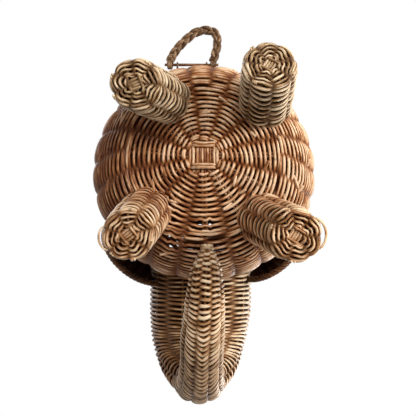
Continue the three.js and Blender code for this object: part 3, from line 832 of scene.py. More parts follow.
def row_stretch(run, angle):
    """How much further out a row lies at an angle than it would if the rows were even."""
    return 1 + ROW_ECCENTRIC * np.cos(angle) * (1 - smooth_step(run, ROW_EVEN_FROM, ROW_EVEN_AT))


def row_point(run, angle, inset):
    """Point of the body's rows: wider apart towards the head, and pushed apart at the loose places."""
    return body_point(loosened(run * row_stretch(run, angle), angle), angle, inset)


def outside_body(points, depth):
    """True where a point is not deeper than depth under the body's outer skin. The point is moved out by
    depth along the skin's direction at its height and then compared with the outline."""
    x, z = points[..., 0], points[..., 2]
    below = np.clip((BELLY_TOP - z) / BELLY_HEIGHT, 0, 1)
    share = np.sqrt(1 - below ** 2)
    deep = 1 + (BELLY_DEPTH / BELLY_RADIUS - 1) * share
    y = (points[..., 1] - FRAME_Y - BASE_SETBACK * (1 - share)) / deep
    out = BELLY_RADIUS - BASE_RADIUS
    direction = unit(np.stack([BELLY_HEIGHT * share, out * below], axis=-1))
    radius = np.hypot(x, y) + depth * direction[..., 0]
    height = z - depth * direction[..., 1]
    skin = np.interp(height, OUTLINE[2][FLAT_PLACES:], OUTLINE[1][FLAT_PLACES:])
    return (height < LEG_HEIGHT) | (radius > skin)


def leg_surface(leg):
    """Surface of one leg: the run goes out over the sole, round its edge and up the side.

    The sole is flat, its edge is a quarter circle and the side a cone. The leg's axis leans from the root
    to the foot, and the sole may be tilted about its middle."""
    around = math.radians(leg["angle"])
    foot = leg["foot"] / 2 * MM + LEG_FULLER
    lean = np.array(leg["lean"]) * MM
    outward = unit(lean)
    root = BASE_RADIUS + leg["reach"] * MM
    root_x = leg["side"] * math.sin(around) * root
    root_y = BASE_SETBACK - math.cos(around) * root + FRAME_Y
    sole_tilt = math.radians(leg["tilt"])
    lift = foot * math.sin(sole_tilt)
    flat = foot - LEG_CORNER
    edge = LEG_CORNER * math.pi / 2

    def point(run, angle, inset):
        turn = np.clip((run - flat) / LEG_CORNER, 0, math.pi / 2)
        side = np.maximum(0, run - flat - edge)
        radius = np.minimum(run, flat) + (LEG_CORNER - inset) * np.sin(turn)
        height = LEG_CORNER - (LEG_CORNER - inset) * np.cos(turn) + side
        part = height / LEG_HEIGHT
        radius = radius + foot * LEG_FLARE * part
        tilt = sole_tilt * np.maximum(0, 1 - part)
        across = radius * np.sin(angle)
        uphill = radius * np.cos(angle)
        x = root_x + lean[0] * (1 - part) - outward[1] * across + outward[0] * uphill * np.cos(tilt)
        y = root_y + lean[1] * (1 - part) + outward[0] * across + outward[1] * uphill * np.cos(tilt)
        z = lift + (LEG_HEIGHT - lift) * part + uphill * np.sin(tilt)
        return np.stack([x, y, z], axis=-1)

    return point, flat, edge


def head_middle(place):
    """Middle of the head and trunk at a place from 0 at the neck to 1 at the tip."""
    forward, side, up = HEAD_STATIONS[:, 0], HEAD_STATIONS[:, 1], HEAD_STATIONS[:, 2]
    stations = np.stack([side, FRAME_Y - BELLY_DEPTH - forward, BELLY_TOP + up], axis=-1)
    return through_stations(stations, place)


def head_table():
    """Run along the middle of the head and trunk for evenly spread places."""
    place = np.linspace(0, 1, HEAD_PLACES)
    step = np.linalg.norm(np.diff(head_middle(place), axis=0), axis=-1)
    return place, np.concatenate([[0], np.cumsum(step)])


HEAD_PLACE, HEAD_RUN = head_table()
TRUNK_RUN = float(np.interp(TRUNK_STATION / (len(HEAD_STATIONS) - 1), HEAD_PLACE, HEAD_RUN))
TIP_RUN = HEAD_RUN[-1]


def head_point(run, angle, inset):
    """Point of the head or trunk: an oval ring square to its middle line, with angle 0 along the forehead
    and down the front of the trunk."""
    place = np.interp(run, HEAD_RUN, HEAD_PLACE)
    nudge = 1e-3
    along = unit(head_middle(np.minimum(1, place + nudge)) - head_middle(np.maximum(0, place - nudge)))
    front = unit(np.cross(np.broadcast_to(SIDEWAYS, along.shape), along))
    size = through_stations(HEAD_STATIONS[:, 3:5], place)
    wide = (size[..., 0] - inset) * np.sin(angle)
    high = (size[..., 1] - inset) * np.cos(angle)
    return head_middle(place) + wide[..., None] * SIDEWAYS - high[..., None] * front


def tapered_head(run, angle, inset):
    """Point of the head or trunk, with less depth near the tip, where there is little room inside."""
    room = np.interp(run, [TIP_RUN - TIP_TAPER, TIP_RUN], [1.0, TIP_ROOM])
    return head_point(run, angle, inset * room)


def slanted_head(run, angle, inset):
    """Point of the rows of the head or trunk. On the trunk they run ahead at its sides, so that they meet
    in a V along its underside."""
    begun = smooth_step(run, TRUNK_RUN + SLANT_BEGINS[0], TRUNK_RUN + SLANT_BEGINS[1])
    ended = smooth_step(run, TIP_RUN + SLANT_ENDS[0], TIP_RUN + SLANT_ENDS[1])
    beside = np.hypot(np.sin(angle), TRUNK_RIDGE) - TRUNK_RIDGE
    ahead = TRUNK_SLANT * beside * begun * (1 - ended)
    return tapered_head(np.minimum(run + ahead, TIP_RUN - SLANT_SHORT), angle, inset)


def crowded_trunk(run, angle, inset):
    """Point of the rows of the trunk, which lie wide apart at its root and close together at its tip."""
    length = TIP_RUN - TRUNK_RUN
    share = (run - TRUNK_RUN) / length
    return slanted_head(run + TRUNK_CROWDING * share * (1 - share) * length, angle, inset)


def outside_head(points):
    """True where a point is outside the oval of the head or behind it."""
    x = (points[..., 0] - HEAD_STATIONS[1, 1]) / HEAD_STATIONS[1, 3]
    z = (points[..., 2] - BELLY_TOP - HEAD_STATIONS[1, 2]) / HEAD_STATIONS[1, 4]
    return (np.hypot(x, z) > HEAD_ROOM) | (points[..., 1] > FRAME_Y - HEAD_BACK)


def ear_point(side, length, height, off):
    """Point of an ear: length runs back round the body from the ear's middle, height runs up, and off is
    the distance out of its middle layer."""
    middle = BELLY_RADIUS + EAR_OUT[side]
    around = math.asin(EAR_FRONT / middle) + (EAR_HALF_LENGTH + length) / middle
    radius = middle - EAR_LEAN * height + off
    up = BELLY_TOP + EAR_UP + height + 0 * around
    return np.stack([side * radius * np.sin(around), FRAME_Y - radius * np.cos(around), up], axis=-1)


# Finishes


def linear(colour):
    """Screen colour as the linear colour that a shader takes."""
    value = np.array(colour[:])
    return (*np.where(value < 0.04045, value / 12.92, ((value + 0.055) / 1.055) ** 2.4), 1.0)


def node(tree, kind, **settings):
    """A shader node with its settings."""
    made = tree.nodes.new(kind)
    for key, value in settings.items():
        setattr(made, key, value)
    return made


def feed(tree, socket, value):
    """Links a value to a socket, or sets it there if it is a number or a colour."""
    if isinstance(value, bpy.types.NodeSocket):
        tree.links.new(value, socket)
    else:
        socket.default_value = value


def math_node(tree, operation, first, second=0.0):
    """The result of a Math node on links or numbers."""
    made = node(tree, "ShaderNodeMath", operation=operation)
    feed(tree, made.inputs[0], first)
    feed(tree, made.inputs[1], second)
    return made.outputs[0]


def mix_colour(tree, share, first, second):
    """The colour between two links or colours."""
    made = node(tree, "ShaderNodeMix", data_type="RGBA")
    for place, value in ((0, share), (6, first), (7, second)):
        feed(tree, made.inputs[place], value)
    return made.outputs[2]


def mix_shader(tree, share, first, second):
    """The shader between two others."""
    made = node(tree, "ShaderNodeMixShader")
    for socket, value in zip(made.inputs, (share, first, second)):
        tree.links.new(value, socket)
    return made.outputs[0]


def ramp(tree, value, low, high, to_low=0.0, to_high=1.0):
    """A value mapped from one range to another in an even S and held at its ends."""
    made = node(tree, "ShaderNodeMapRange", interpolation_type="SMOOTHSTEP")
    ends = {"Value": value, "From Min": low, "From Max": high, "To Min": to_low, "To Max": to_high}
    for name, given in ends.items():
        feed(tree, made.inputs[name], given)
    return made.outputs["Result"]


def scaled(tree, vector, scale):
    """A vector with each part multiplied by its own number."""
    made = node(tree, "ShaderNodeVectorMath", operation="MULTIPLY")
    feed(tree, made.inputs[0], vector)
    feed(tree, made.inputs[1], scale)
    return made.outputs[0]


def part_of(tree, vector, axis):
    """One part, X, Y or Z, of a vector."""
    made = node(tree, "ShaderNodeSeparateXYZ")
    tree.links.new(vector, made.inputs[0])
    return made.outputs[axis]


def object_place(tree):
    """The place in the object, which is the place in the frame."""
    return node(tree, "ShaderNodeTexCoord").outputs["Object"]


def noise(tree, vector, detail):
    """A soft noise of about one bump for each unit of the vector."""
    made = node(tree, "ShaderNodeTexNoise")
    feed(tree, made.inputs["Vector"], vector)
    made.inputs["Scale"].default_value = 1.0
    made.inputs["Detail"].default_value = detail
    return made.outputs["Fac"]


def strand_place(tree, skin, strand):
    """The place on a cane's skin, moved by its strand's number, so that no two strands look alike."""
    shift = node(tree, "ShaderNodeCombineXYZ")
    feed(tree, shift.inputs["X"], math_node(tree, "MULTIPLY", strand, 3.1))
    feed(tree, shift.inputs["Z"], math_node(tree, "MULTIPLY", strand, 7.7))
    moved = node(tree, "ShaderNodeVectorMath", operation="ADD")
    tree.links.new(skin, moved.inputs[0])
    tree.links.new(shift.outputs[0], moved.inputs[1])
    return moved.outputs[0]


def skin_wear_and_light(tree, patterns, place, given):
    """How worn a cane is, and where light and shade are painted: what the material says, changed by each
    pattern, with painted highlight on the crowns and painted shade on hidden sides, painted light on the
    animal's right side and painted shade on its left.
    """
    wear = given.outputs["Wear"]
    for name, (low, high, change) in WEAR_AND_LIGHT_RANGES.items():
        wear = math_node(tree, "ADD", wear, ramp(tree, patterns[name], low, high, -change, change))
    # Painted light on the animal's right side and painted shade on its left, deepest at the far left
    beside = part_of(tree, place, "X")
    low, high, brown = DEEPEST_SHADE_LEFT
    bleach = ramp(tree, beside, -SIDE_LIGHT_SPAN, SIDE_LIGHT_SPAN, LIT_RIGHT, SHADED_LEFT)
    bleach = math_node(tree, "ADD", bleach, ramp(tree, beside, low, high, 0.0, brown))
    bleach = math_node(tree, "MULTIPLY", bleach, given.outputs["Bleach"])
    return math_node(tree, "ADD", wear, bleach)


def skin_stain(tree, patterns, moved):
    """Dark joints across a cane, and dark flecks."""
    joints = math_node(tree, "MULTIPLY", part_of(tree, moved, "Z"), JOINTS_IN_METRE)
    along = math_node(tree, "FRACT", joints)
    from_joint = math_node(tree, "ABSOLUTE", math_node(tree, "SUBTRACT", along, 0.5))
    joint = ramp(tree, from_joint, 0.0, JOINT_HALF, JOINT_STAIN, 0.0)
    low, high, darkening = FLECK_STAIN
    return math_node(tree, "MAXIMUM", joint, ramp(tree, patterns["flecks"], low, high, 0.0, darkening))


def cane_skin_group():
    """Node group of a peeled cane: tone that changes along each cane, fibres that run with it, dark joints
    and painted shade in the hollows of the weave. The skin goes from cane to honey to pale as it wears and
    where light is painted on it. It puts out a colour, a roughness, a share of gloss (less where shade is
    painted) and a height."""
    found = bpy.data.node_groups.get("cane_skin")
    if found:
        return found
    tree = bpy.data.node_groups.new("cane_skin", "ShaderNodeTree")
    sockets = {
        ("INPUT", "NodeSocketColor"): ("Cane", "Honey", "Pale", "Grime"),
        ("INPUT", "NodeSocketFloat"): ("Wear", "Bleach"),
        ("OUTPUT", "NodeSocketColor"): ("Colour",),
        ("OUTPUT", "NodeSocketFloat"): ("Roughness", "Gloss", "Height"),
    }
    for (way, kind), names in sockets.items():
        for name in names:
            tree.interface.new_socket(name, in_out=way, socket_type=kind)
    given = node(tree, "NodeGroupInput")
    skin = node(tree, "ShaderNodeAttribute", attribute_name="skin").outputs["Vector"]
    strand = node(tree, "ShaderNodeAttribute", attribute_name="strand").outputs["Fac"]
    shade_mask = node(tree, "ShaderNodeAttribute", attribute_name="grime").outputs["Fac"]
    place = object_place(tree)
    moved = strand_place(tree, skin, strand)

    patches = noise(tree, scaled(tree, place, (PATCHES_IN_METRE,) * 3), detail=2.0)
    patterns = {"shade_mask": shade_mask, "patches": patches}
    for name, (across, along, detail) in SKIN_PATTERNS.items():
        patterns[name] = noise(tree, scaled(tree, moved, (across, across, along)), detail)
    wear = skin_wear_and_light(tree, patterns, place, given)
    colour = mix_colour(tree, ramp(tree, wear, *HONEY_WEAR), given.outputs["Cane"], given.outputs["Honey"])
    colour = mix_colour(tree, ramp(tree, wear, *PALE_WEAR), colour, given.outputs["Pale"])
    # Painted shade in the hollows of the weave, a little patchy; it also takes the gloss away there
    patchy = ramp(tree, patches, *HOLLOW_SHADE_PATCHES)
    hollow_shade = math_node(tree, "MULTIPLY", ramp(tree, shade_mask, *HOLLOW_SHADE_RANGE), patchy)
    # Joints and flecks are stains; the hollows add painted shade in the same dark colour
    darkening = math_node(tree, "MAXIMUM", skin_stain(tree, patterns, moved), hollow_shade)
    low_flecks = math_node(tree, "MULTIPLY", patterns["flecks"], FLECK_HEIGHT)

    results = {
        "Colour": mix_colour(tree, darkening, colour, given.outputs["Grime"]),
        "Roughness": ramp(tree, patterns["fibres"], *SMOOTH_FIBRES),
        "Gloss": math_node(tree, "SUBTRACT", 1.0, hollow_shade),
        "Height": math_node(tree, "ADD", patterns["fibres"], low_flecks),
    }
    put_out = node(tree, "NodeGroupOutput")
    for name, value in results.items():
        tree.links.new(value, put_out.inputs[name])
    return tree


def cane_finish(name, kind, wear, bleach=0.0, rooted=None):
    """Material of one kind of cane, in the colours of that name. The side light setting tells how much
    paler it is painted on the animal's right side, as painted light, and darker on its left, as painted
    shade; a negative setting turns this round. rooted names a second kind and gives the heights between
    which the first turns into it."""
    found = bpy.data.materials.get(name)
    if found:
        return found
    colours = bpy.context.scene.basket_colours
    material = bpy.data.materials.new(name)
    material.use_nodes = True
    tree = material.node_tree
    shader = tree.nodes["Principled BSDF"]
    skin = node(tree, "ShaderNodeGroup", node_tree=cane_skin_group())
    skin.inputs["Grime"].default_value = linear(colours.grime)
    skin.inputs["Wear"].default_value = wear
    skin.inputs["Bleach"].default_value = bleach
    for socket, ending in (("Cane", ""), ("Honey", "_honey"), ("Pale", "_pale")):
        colour = linear(getattr(colours, kind + ending))
        if rooted:
            second, low, high = rooted
            share = ramp(tree, part_of(tree, object_place(tree), "Z"), low, high)
            colour = mix_colour(tree, share, colour, linear(getattr(colours, second + ending)))
        feed(tree, skin.inputs[socket], colour)
    bump = node(tree, "ShaderNodeBump")
    bump.inputs["Strength"].default_value = FIBRE_STRENGTH
    bump.inputs["Distance"].default_value = FIBRE_HEIGHT
    tree.links.new(skin.outputs["Height"], bump.inputs["Height"])
    surface = {
        "Base Color": skin.outputs["Colour"],
        "Roughness": skin.outputs["Roughness"],
        "Normal": bump.outputs[0],
        "Specular IOR Level": math_node(tree, "MULTIPLY", skin.outputs["Gloss"], SHEEN),
        "Specular Tint": SHEEN_TINT,
    }
    for socket, value in surface.items():
        feed(tree, shader.inputs[socket], value)
    return material


def body_cane():
    """Warm brown peeled cane of the body, painted paler on the animal's right side and darker on its left,
    as painted light and shade.
    """
    return cane_finish("chestnut_skin", "chestnut", wear=0.32, bleach=1.0)


def rear_sole_cane():
    """Straw coloured cane of the rear soles."""
    return cane_finish("straw_skin", "straw", wear=0.30)


def rear_leg_cane():
    """Straw coloured cane of the rear legs, paler than their soles."""
    return cane_finish("worn_straw_skin", "straw", wear=0.76)


def front_sole_cane():
    """Tan cane of the front soles."""
    return cane_finish("tan_sole_skin", "tan", wear=0.44)


def front_leg_cane():
    """Tan cane of the front legs, which turns brown towards the body: painted shade, and painted light
    bounced off the body.
    """
    return cane_finish("tan_to_chestnut_skin", "tan", wear=0.62, rooted=("chestnut", 4 * MM, 50 * MM))


def head_cane():
    """Tan cane of the head, painted paler on its right side and darker on its left, as painted light and
    shade.
    """
    return cane_finish("tan_skin", "tan", wear=0.20, bleach=3.0)


def trunk_cane():
    """Tan cane of the trunk, more worn than the head, painted paler on its right side and darker on its
    left, and duller towards the forehead as painted shade.
    """
    # Painted shade: the driftwood colour towards the forehead
    forehead_shade = ("drift", BELLY_TOP - 105 * MM, BELLY_TOP - 70 * MM)
    return cane_finish("worn_tan_skin", "tan", wear=0.54, bleach=2.0, rooted=forehead_shade)


def tip_cane():
    """Pale cut cane at the tip of the trunk."""
    return cane_finish("cut_straw_skin", "straw", wear=0.55)


def dark_cane():
    """Dark unpeeled cane of the ears, the tail's rod and its ties."""
    return cane_finish("umber_skin", "umber", wear=0.40)


def tail_cane():
    """Weathered grey brown cane of the tail, painted paler at its left foot and darker at its right foot, as
    painted light and shade.
    """
    return cane_finish("driftwood_skin", "drift", wear=0.52, bleach=-3.6)


# Parts of the basket


def slath_canes(diameter):
    """The canes that cross at the base centre and run on as the stakes of the wall.

    Twelve canes each have two ends. An end starts straight in the square, bends to its pair's spoke,
    and leaves its pair at the edge of the base for its own place on the wall."""
    base = [np.linspace(low, high, count, endpoint=False) for low, high, count in SLATH_STRETCHES]
    wall = np.linspace(SLATH_STRETCHES[-1][1] * MM, WALL_RUN, WALL_PLACES)
    run = np.concatenate([np.concatenate(base) * MM, wall])
    stake = np.arange(STAKES)
    each_side = STAKES // 4
    wall_angle = FULL_TURN * (stake + 0.5) / STAKES
    pair_angle = (FULL_TURN * np.floor((stake + 0.5) / 2 + 0.5) / PAIRS)[:, None]
    beside = (np.where(stake % 2 == 0, 1, -1) * PAIR_APART * diameter)[:, None]
    quarter = np.floor((wall_angle + math.pi / 4) / (math.pi / 2)) % 4
    place = ((stake + each_side // 2) % each_side - (each_side - 1) / 2) * (2 * SLATH_HALF / each_side)

    spoke = pair_angle + np.arcsin(np.clip(beside / np.maximum(run, diameter), -1, 1))
    parting = smooth_step(run / row_stretch(run, pair_angle), *PAIR_PARTS)
    angle = spoke + (wall_angle[:, None] - spoke) * parting
    straight = (quarter * (math.pi / 2))[:, None]
    straight_x = run * np.sin(straight) + place[:, None] * np.cos(straight)
    straight_y = -run * np.cos(straight) + place[:, None] * np.sin(straight)
    bent = smooth_step(run, SLATH_HALF, SLATH_BENT)
    x = straight_x + (run * np.sin(angle) - straight_x) * bent
    y = straight_y + (-run * np.cos(angle) - straight_y) * bent
    flat_run = np.where(run < SLATH_FLAT, np.hypot(x, y), run)
    flat_angle = np.where(run < SLATH_FLAT, np.arctan2(x, -y), angle)
    lift = np.where(quarter % 2 == 0, -1, 1)[:, None] * diameter * SLATH_CROSSING
    middle = diameter / 2 + bpy.context.scene.basket_sizes.body_weaver
    inset = middle + lift * (1 - smooth_step(run, *SLATH_LEVEL))
    halves, facing = laid(body_point, flat_run, flat_angle, inset)
    return halves, facing, place, quarter


def body_stakes():
    """The crossed canes of the base, their spokes and the stakes of the wall: each cane is two halves."""
    sizes = bpy.context.scene.basket_sizes
    halves, facing, place, quarter = slath_canes(sizes.body_stake)
    order = np.lexsort((np.where(quarter >= 2, -place, place), quarter))
    first, second = order[:PAIRS], order[PAIRS:]
    path = np.concatenate([halves[first][:, ::-1], halves[second][:, 1:]], axis=1)
    face = np.concatenate([facing[first][:, ::-1], facing[second][:, 1:]], axis=1)
    numbers = 0.37 * np.arange(PAIRS)
    canes = cane(path, face, sizes.body_stake / 2, sides=7, strand=numbers, grime=0.25)
    return make_piece("body_stake_canes", [canes], body_cane(), "basket", ["body_stakes"])


def slath_bars(diameter):
    """Canes that frame the crossed canes: two bars beside each other on each side of the square. The bars
    above and below lie on top, and every bar dips into the weave at its ends."""
    share = np.linspace(-1, 1, BAR_PLACES)[None]
    dip = BAR_DIP * smooth_step(np.abs(share), BAR_DIPS_FROM, 1.0)
    canes = []
    for bar in SLATH_BARS:
        places = np.array([-bar["far"], -bar["near"], bar["near"], bar["far"]])[:, None]
        beside = places + BAR_BOW * np.sign(places) * share ** 2
        along = np.broadcast_to(bar["half"] * share, beside.shape)
        x, y = (beside, along) if bar["upright"] else (along, beside)
        path, facing = laid(body_point, np.hypot(x, y), np.arctan2(x, -y), bar["depth"] * diameter + dip)
        numbers = 1.3 + 0.7 * np.arange(len(places)) + bar["half"] * 100
        canes.append(cane(path, facing, diameter / 2, sides=8, strand=numbers, grime=0.12))
    return canes


def inner_ring(run, weave, seed):
    """A cane laid once round the inner side of the stakes, where one kind of weave ends."""
    angle = np.linspace(0, FULL_TURN, RING_PLACES, endpoint=False)[None]
    inset = weave["weaver"] / 2 + 2 * weave["reach"]
    path, facing = laid(row_point, run, angle, inset)
    # The ring lies inside the weave and is painted with full shade
    return cane(path, facing, weave["weaver"] / 2, closed=True, strand=seed, grime=0.9, wide=RING_WIDER)


def splice_ends(places, weaver, seed):
    """Short cut ends of weavers that stick out of the body: a straight cane that rises out of the skin
    as it runs along a row."""
    chance = np.random.default_rng(seed)
    one_each = (len(places), 1)
    run = np.array([p[1] for p in places])[:, None] * MM
    angle = np.radians([p[0] for p in places])[:, None]
    share = np.linspace(0, 1, SPLICE_PLACES)[None]
    length = chance.uniform(*SPLICE_LENGTH, one_each) * MM
    way = np.where(chance.uniform(0, 1, one_each) < 0.5, -1, 1)
    steep = chance.uniform(*SPLICE_STEEP, one_each)
    rows = run + steep * length * (share - 0.5) * SPLICE_SLOPE
    turn = angle + way * length * share / np.maximum(run, SPLICE_LEAST_RUN)
    inset = SPLICE_DEPTH - SPLICE_RISE * share ** 0.7
    path, facing = laid(body_point, rows, turn, inset)
    numbers = chance.uniform(0, 9, len(places))
    return cane(path, facing, weaver * SPLICE_GIRTH, strand=numbers, grime=0.1)


def base_weave():
    """Rows of the round base, bound square at its centre."""
    sizes = bpy.context.scene.basket_sizes
    weave = weave_of(
        PAIRS, BASE_START, sizes.base_row, sizes.body_weaver, sizes.body_stake,
        steps=13, seed=100, loose=1.4, sides=8, widest=BODY_WIDEST)
    rows = (WALL_START - 2 * sizes.base_row - BASE_START) / (2 * sizes.base_row)
    canes = [woven(row_point, weave, (0, rows), level=(1, 1))]
    for number, run in enumerate(INNER_RINGS):
        canes.append(inner_ring(run, weave, seed=1.0 + 2 * number))
    canes += slath_bars(sizes.body_stake)
    canes.append(splice_ends(BASE_SPLICES, sizes.body_weaver, seed=5))
    return make_piece("base_weavers", canes, body_cane(), "basket", ["base_weave"])


def wall_weave():
    """Rows of the wall from the edge of the base to the rim."""
    sizes = bpy.context.scene.basket_sizes
    start = WALL_START - sizes.wall_row / 2
    weave = weave_of(
        STAKES, start, sizes.wall_row, sizes.body_weaver, sizes.body_stake,
        steps=7, seed=200, first=math.pi / STAKES, eased=WALL_EASED, clean=0.12, widest=BODY_WIDEST)
    rows = (WALL_RUN - start - sizes.wall_row) / (2 * sizes.wall_row)
    canes = [woven(row_point, weave, (0, rows), level=(1, 1))]
    canes.append(splice_ends(WALL_SPLICES, sizes.body_weaver, seed=6))
    return make_piece("wall_weavers", canes, body_cane(), "basket", ["wall_weave"])


def rim_border():
    """Rolled border of the opening: canes laid up as a rope round the top row. Each winds round the rope's
    middle line, an even share of a turn after the one before it."""
    turn = np.linspace(0, FULL_TURN, RIM_PLACES, endpoint=False)
    deep = BELLY_DEPTH / BELLY_RADIUS
    outward = np.stack([np.sin(turn), -np.cos(turn) * deep, 0 * turn], axis=-1)
    middle = np.array([0, FRAME_Y, RIM_TOP + RIM_ROPE / 2 - RIM_SETTLED])
    spine = (RIM_RADIUS - RIM_INSET) * outward + middle
    share = np.arange(RIM_PLACES) / RIM_PLACES
    wind = FULL_TURN * (RIM_TWISTS * share + np.arange(RIM_CANES)[:, None] / RIM_CANES)
    out = unit(outward) * np.cos(wind)[..., None] + UPWARD * np.sin(wind)[..., None]
    thick = RIM_ROPE * ROPE_CANE
    path = spine + (RIM_ROPE / 2 - thick) * out
    numbers = 40 + 0.41 * np.arange(RIM_CANES)
    canes = cane(path, out, thick, sides=8, closed=True, strand=numbers, grime=0.25)
    return make_piece("rim_rope", [canes], body_cane(), "basket", ["rim_border"])


def sole_heart(surface, diameter, turn):
    """The crossed canes in the middle of a sole: short canes side by side and a bar over each end."""
    share = np.linspace(-1, 1, HEART_PLACES)[None]
    beside = (np.arange(HEART_CANES)[:, None] - (HEART_CANES - 1) / 2) * diameter * HEART_GAP
    bars = np.array([-1, 1])[:, None] * SOLE_HEART * HEART_BAR_PLACE
    short = np.broadcast_arrays(beside, share * SOLE_HEART * HEART_HALF)
    long = np.broadcast_arrays(share * SOLE_HEART * HEART_BAR_HALF, bars)
    canes = []
    for (x, y), depth, seed in ((short, HEART_DEPTH, 1.0), (long, HEART_BAR_DEPTH, 4.0)):
        inset = diameter * depth + HEART_BURIED * share ** 4
        path, facing = laid(surface, np.hypot(x, y), np.arctan2(x, y) + turn, inset)
        numbers = seed + 0.6 * np.arange(len(path))
        canes.append(cane(path, facing, diameter / 2, sides=7, strand=numbers, grime=0.2))
    return canes


def stake_stubs(surface, run, diameter, seed):
    """Cut ends of the stakes that stand out at the edge of a sole, two beside each other."""
    chance = np.random.default_rng(seed)
    which = np.repeat(chance.permutation(LEG_STAKES)[:SOLE_STUBS], 2)
    beside = np.tile([-1, 1], SOLE_STUBS) * diameter * PAIR_APART / run
    angle = (FULL_TURN * (which + STUB_TURN) / LEG_STAKES + beside)[:, None]
    share = np.linspace(0, 1, STUB_PLACES)[None]
    reach = np.repeat(chance.uniform(*STUB_REACH, SOLE_STUBS), 2)[:, None] * MM
    inset = STUB_DEPTH - (STUB_DEPTH + reach) * share
    rows = run - share * STUB_LEAN
    path = surface(*np.broadcast_arrays(rows, angle, inset))
    path[..., 2] = np.maximum(path[..., 2], diameter / 2)
    facing = surface(*np.broadcast_arrays(rows - MM, angle, inset)) - path
    return cane(path, facing, diameter / 2, strand=chance.uniform(0, 9, 2 * SOLE_STUBS))


def loose_strand(surface, run, angle, width, stand_off, diameter):
    """A weaver that has sprung off the edge of a sole: an arc that stands off the skin in its middle."""
    share = np.linspace(-1, 1, SPRUNG_PLACES)[None]
    inset = SPRUNG_DEPTH - (SPRUNG_DEPTH + stand_off) * (1 - share ** 2) ** 0.6
    path, facing = laid(surface, run, math.radians(angle) + math.radians(width) * share, inset)
    return cane(path, facing, diameter / 2, strand=3.3)


def leg(name, number):
    """One leg: its weave, its sole and its stakes."""
    sizes = bpy.context.scene.basket_sizes
    surface, flat, edge = leg_surface(LEGS[name])
    front = "front" in name
    side_finish = front_leg_cane() if front else rear_leg_cane()
    sole_finish = front_sole_cane() if front else rear_sole_cane()
    seed = LEG_SEED + 20 * number
    edge_run = flat + edge * EDGE_CHANGE
    first_row = SOLE_HEART + sizes.sole_row * SOLE_FIRST_ROW
    sole_weave = weave_of(
        LEG_STAKES, first_row, sizes.sole_row, sizes.sole_weaver, sizes.thin_stake,
        steps=11, seed=seed, loose=3.2, eased=(flat - SOLE_EASED_FROM, flat + edge, SOLE_EASED))
    side_weave = weave_of(
        LEG_STAKES, edge_run, sizes.leg_row, sizes.leg_weaver, sizes.thin_stake,
        steps=11, seed=seed + 5, loose=2.0, clean=0.15)

    def keep(path, spread=None):
        return outside_body(path, LEG_SUNK)

    side_turns = (LEG_ROOT - edge_run) / sizes.leg_row + LEG_SPARE_TURNS
    skin = woven(surface, side_weave, (0, side_turns), keep, level=(1, 0))
    make_piece(f"{name}_weavers", [skin], side_finish, "basket", [f"{name}_weave"])

    sole_turns = (edge_run - first_row) / sizes.sole_row - 1
    sole = [woven(surface, sole_weave, (0, sole_turns), level=(1, 1))]
    sole += sole_heart(surface, sizes.sole_weaver, HEART_TURN + NEXT_HEART_TURN * number)
    sole.append(stake_stubs(surface, flat + edge * EDGE_STUBS, sizes.thin_stake * STUB_GIRTH, seed))
    if name in LOOSE_STRANDS:
        sole.append(loose_strand(surface, flat + edge * EDGE_SPRUNG, *LOOSE_STRANDS[name]))
    make_piece(f"{name}_sole_weavers", sole, sole_finish, "basket", [f"{name}_sole"])

    run = np.linspace(LEG_STAKE_START, LEG_ROOT, LEG_STAKE_PLACES)[None]
    inset = np.where(run < edge_run, skin_middle(sole_weave, run), skin_middle(side_weave, run))
    angle = even_angles(LEG_STAKES)[:, None]
    stakes = lengthwise(surface, run, angle, inset, sizes.thin_stake, keep, seed=seed * 0.1)
    make_piece(f"{name}_stake_canes", [stakes], side_finish, "basket", [f"{name}_stakes"])


def head_and_trunk():
    """The weave of the head, the weave of the trunk and the stakes that run through both. On the outer
    side of the bend, where the rows lie far apart, a second weaver fills each row."""
    sizes = bpy.context.scene.basket_sizes
    weave = weave_of(
        HEAD_STAKES, 0.0, sizes.head_row, sizes.head_weaver, sizes.thin_stake,
        steps=12, seed=500, loose=1.6, clean=0.2, widest=HEAD_WIDEST)
    trunk_weave = weave_of(
        HEAD_STAKES, TRUNK_RUN, sizes.trunk_row, sizes.trunk_weaver, sizes.thin_stake,
        steps=12, seed=560, loose=1.8, widest=HEAD_WIDEST)
    head_turns = TRUNK_RUN / sizes.head_row
    trunk_turns = (TIP_RUN - ROWS_SHORT - TRUNK_RUN) / sizes.trunk_row

    def keep(path, spread=None):
        return outside_body(path, HEAD_SUNK)

    def stretched(path, spread):
        return keep(path) & (spread > TWINED_FROM)

    def twin(single, seed):
        start = single["start"] + TWIN_START * single["row"]
        return dict(single, first=FULL_TURN / HEAD_STAKES, start=start, seed=seed)

    head = [
        woven(slanted_head, weave, (0, head_turns), keep),
        woven(slanted_head, twin(weave, seed=530), (0, head_turns), stretched),
    ]
    make_piece("head_weavers", head, head_cane(), "basket", ["head_weave"])
    trunk = [
        woven(crowded_trunk, trunk_weave, (0, trunk_turns)),
        woven(crowded_trunk, twin(trunk_weave, seed=590), (0, trunk_turns - 1), stretched),
    ]
    make_piece("trunk_weavers", trunk, trunk_cane(), "basket", ["trunk_weave"])
    run = np.linspace(0, TIP_RUN - STAKES_SHORT, HEAD_STAKE_PLACES)[None]
    inset = np.where(run < TRUNK_RUN, skin_middle(weave, run), skin_middle(trunk_weave, run))
    angle = even_angles(HEAD_STAKES)[:, None]
    stakes = lengthwise(tapered_head, run, angle, inset, sizes.thin_stake, keep, seed=50, grime=0.3)
    make_piece("head_stake_canes", [stakes], head_cane(), "basket", ["head_stakes"])


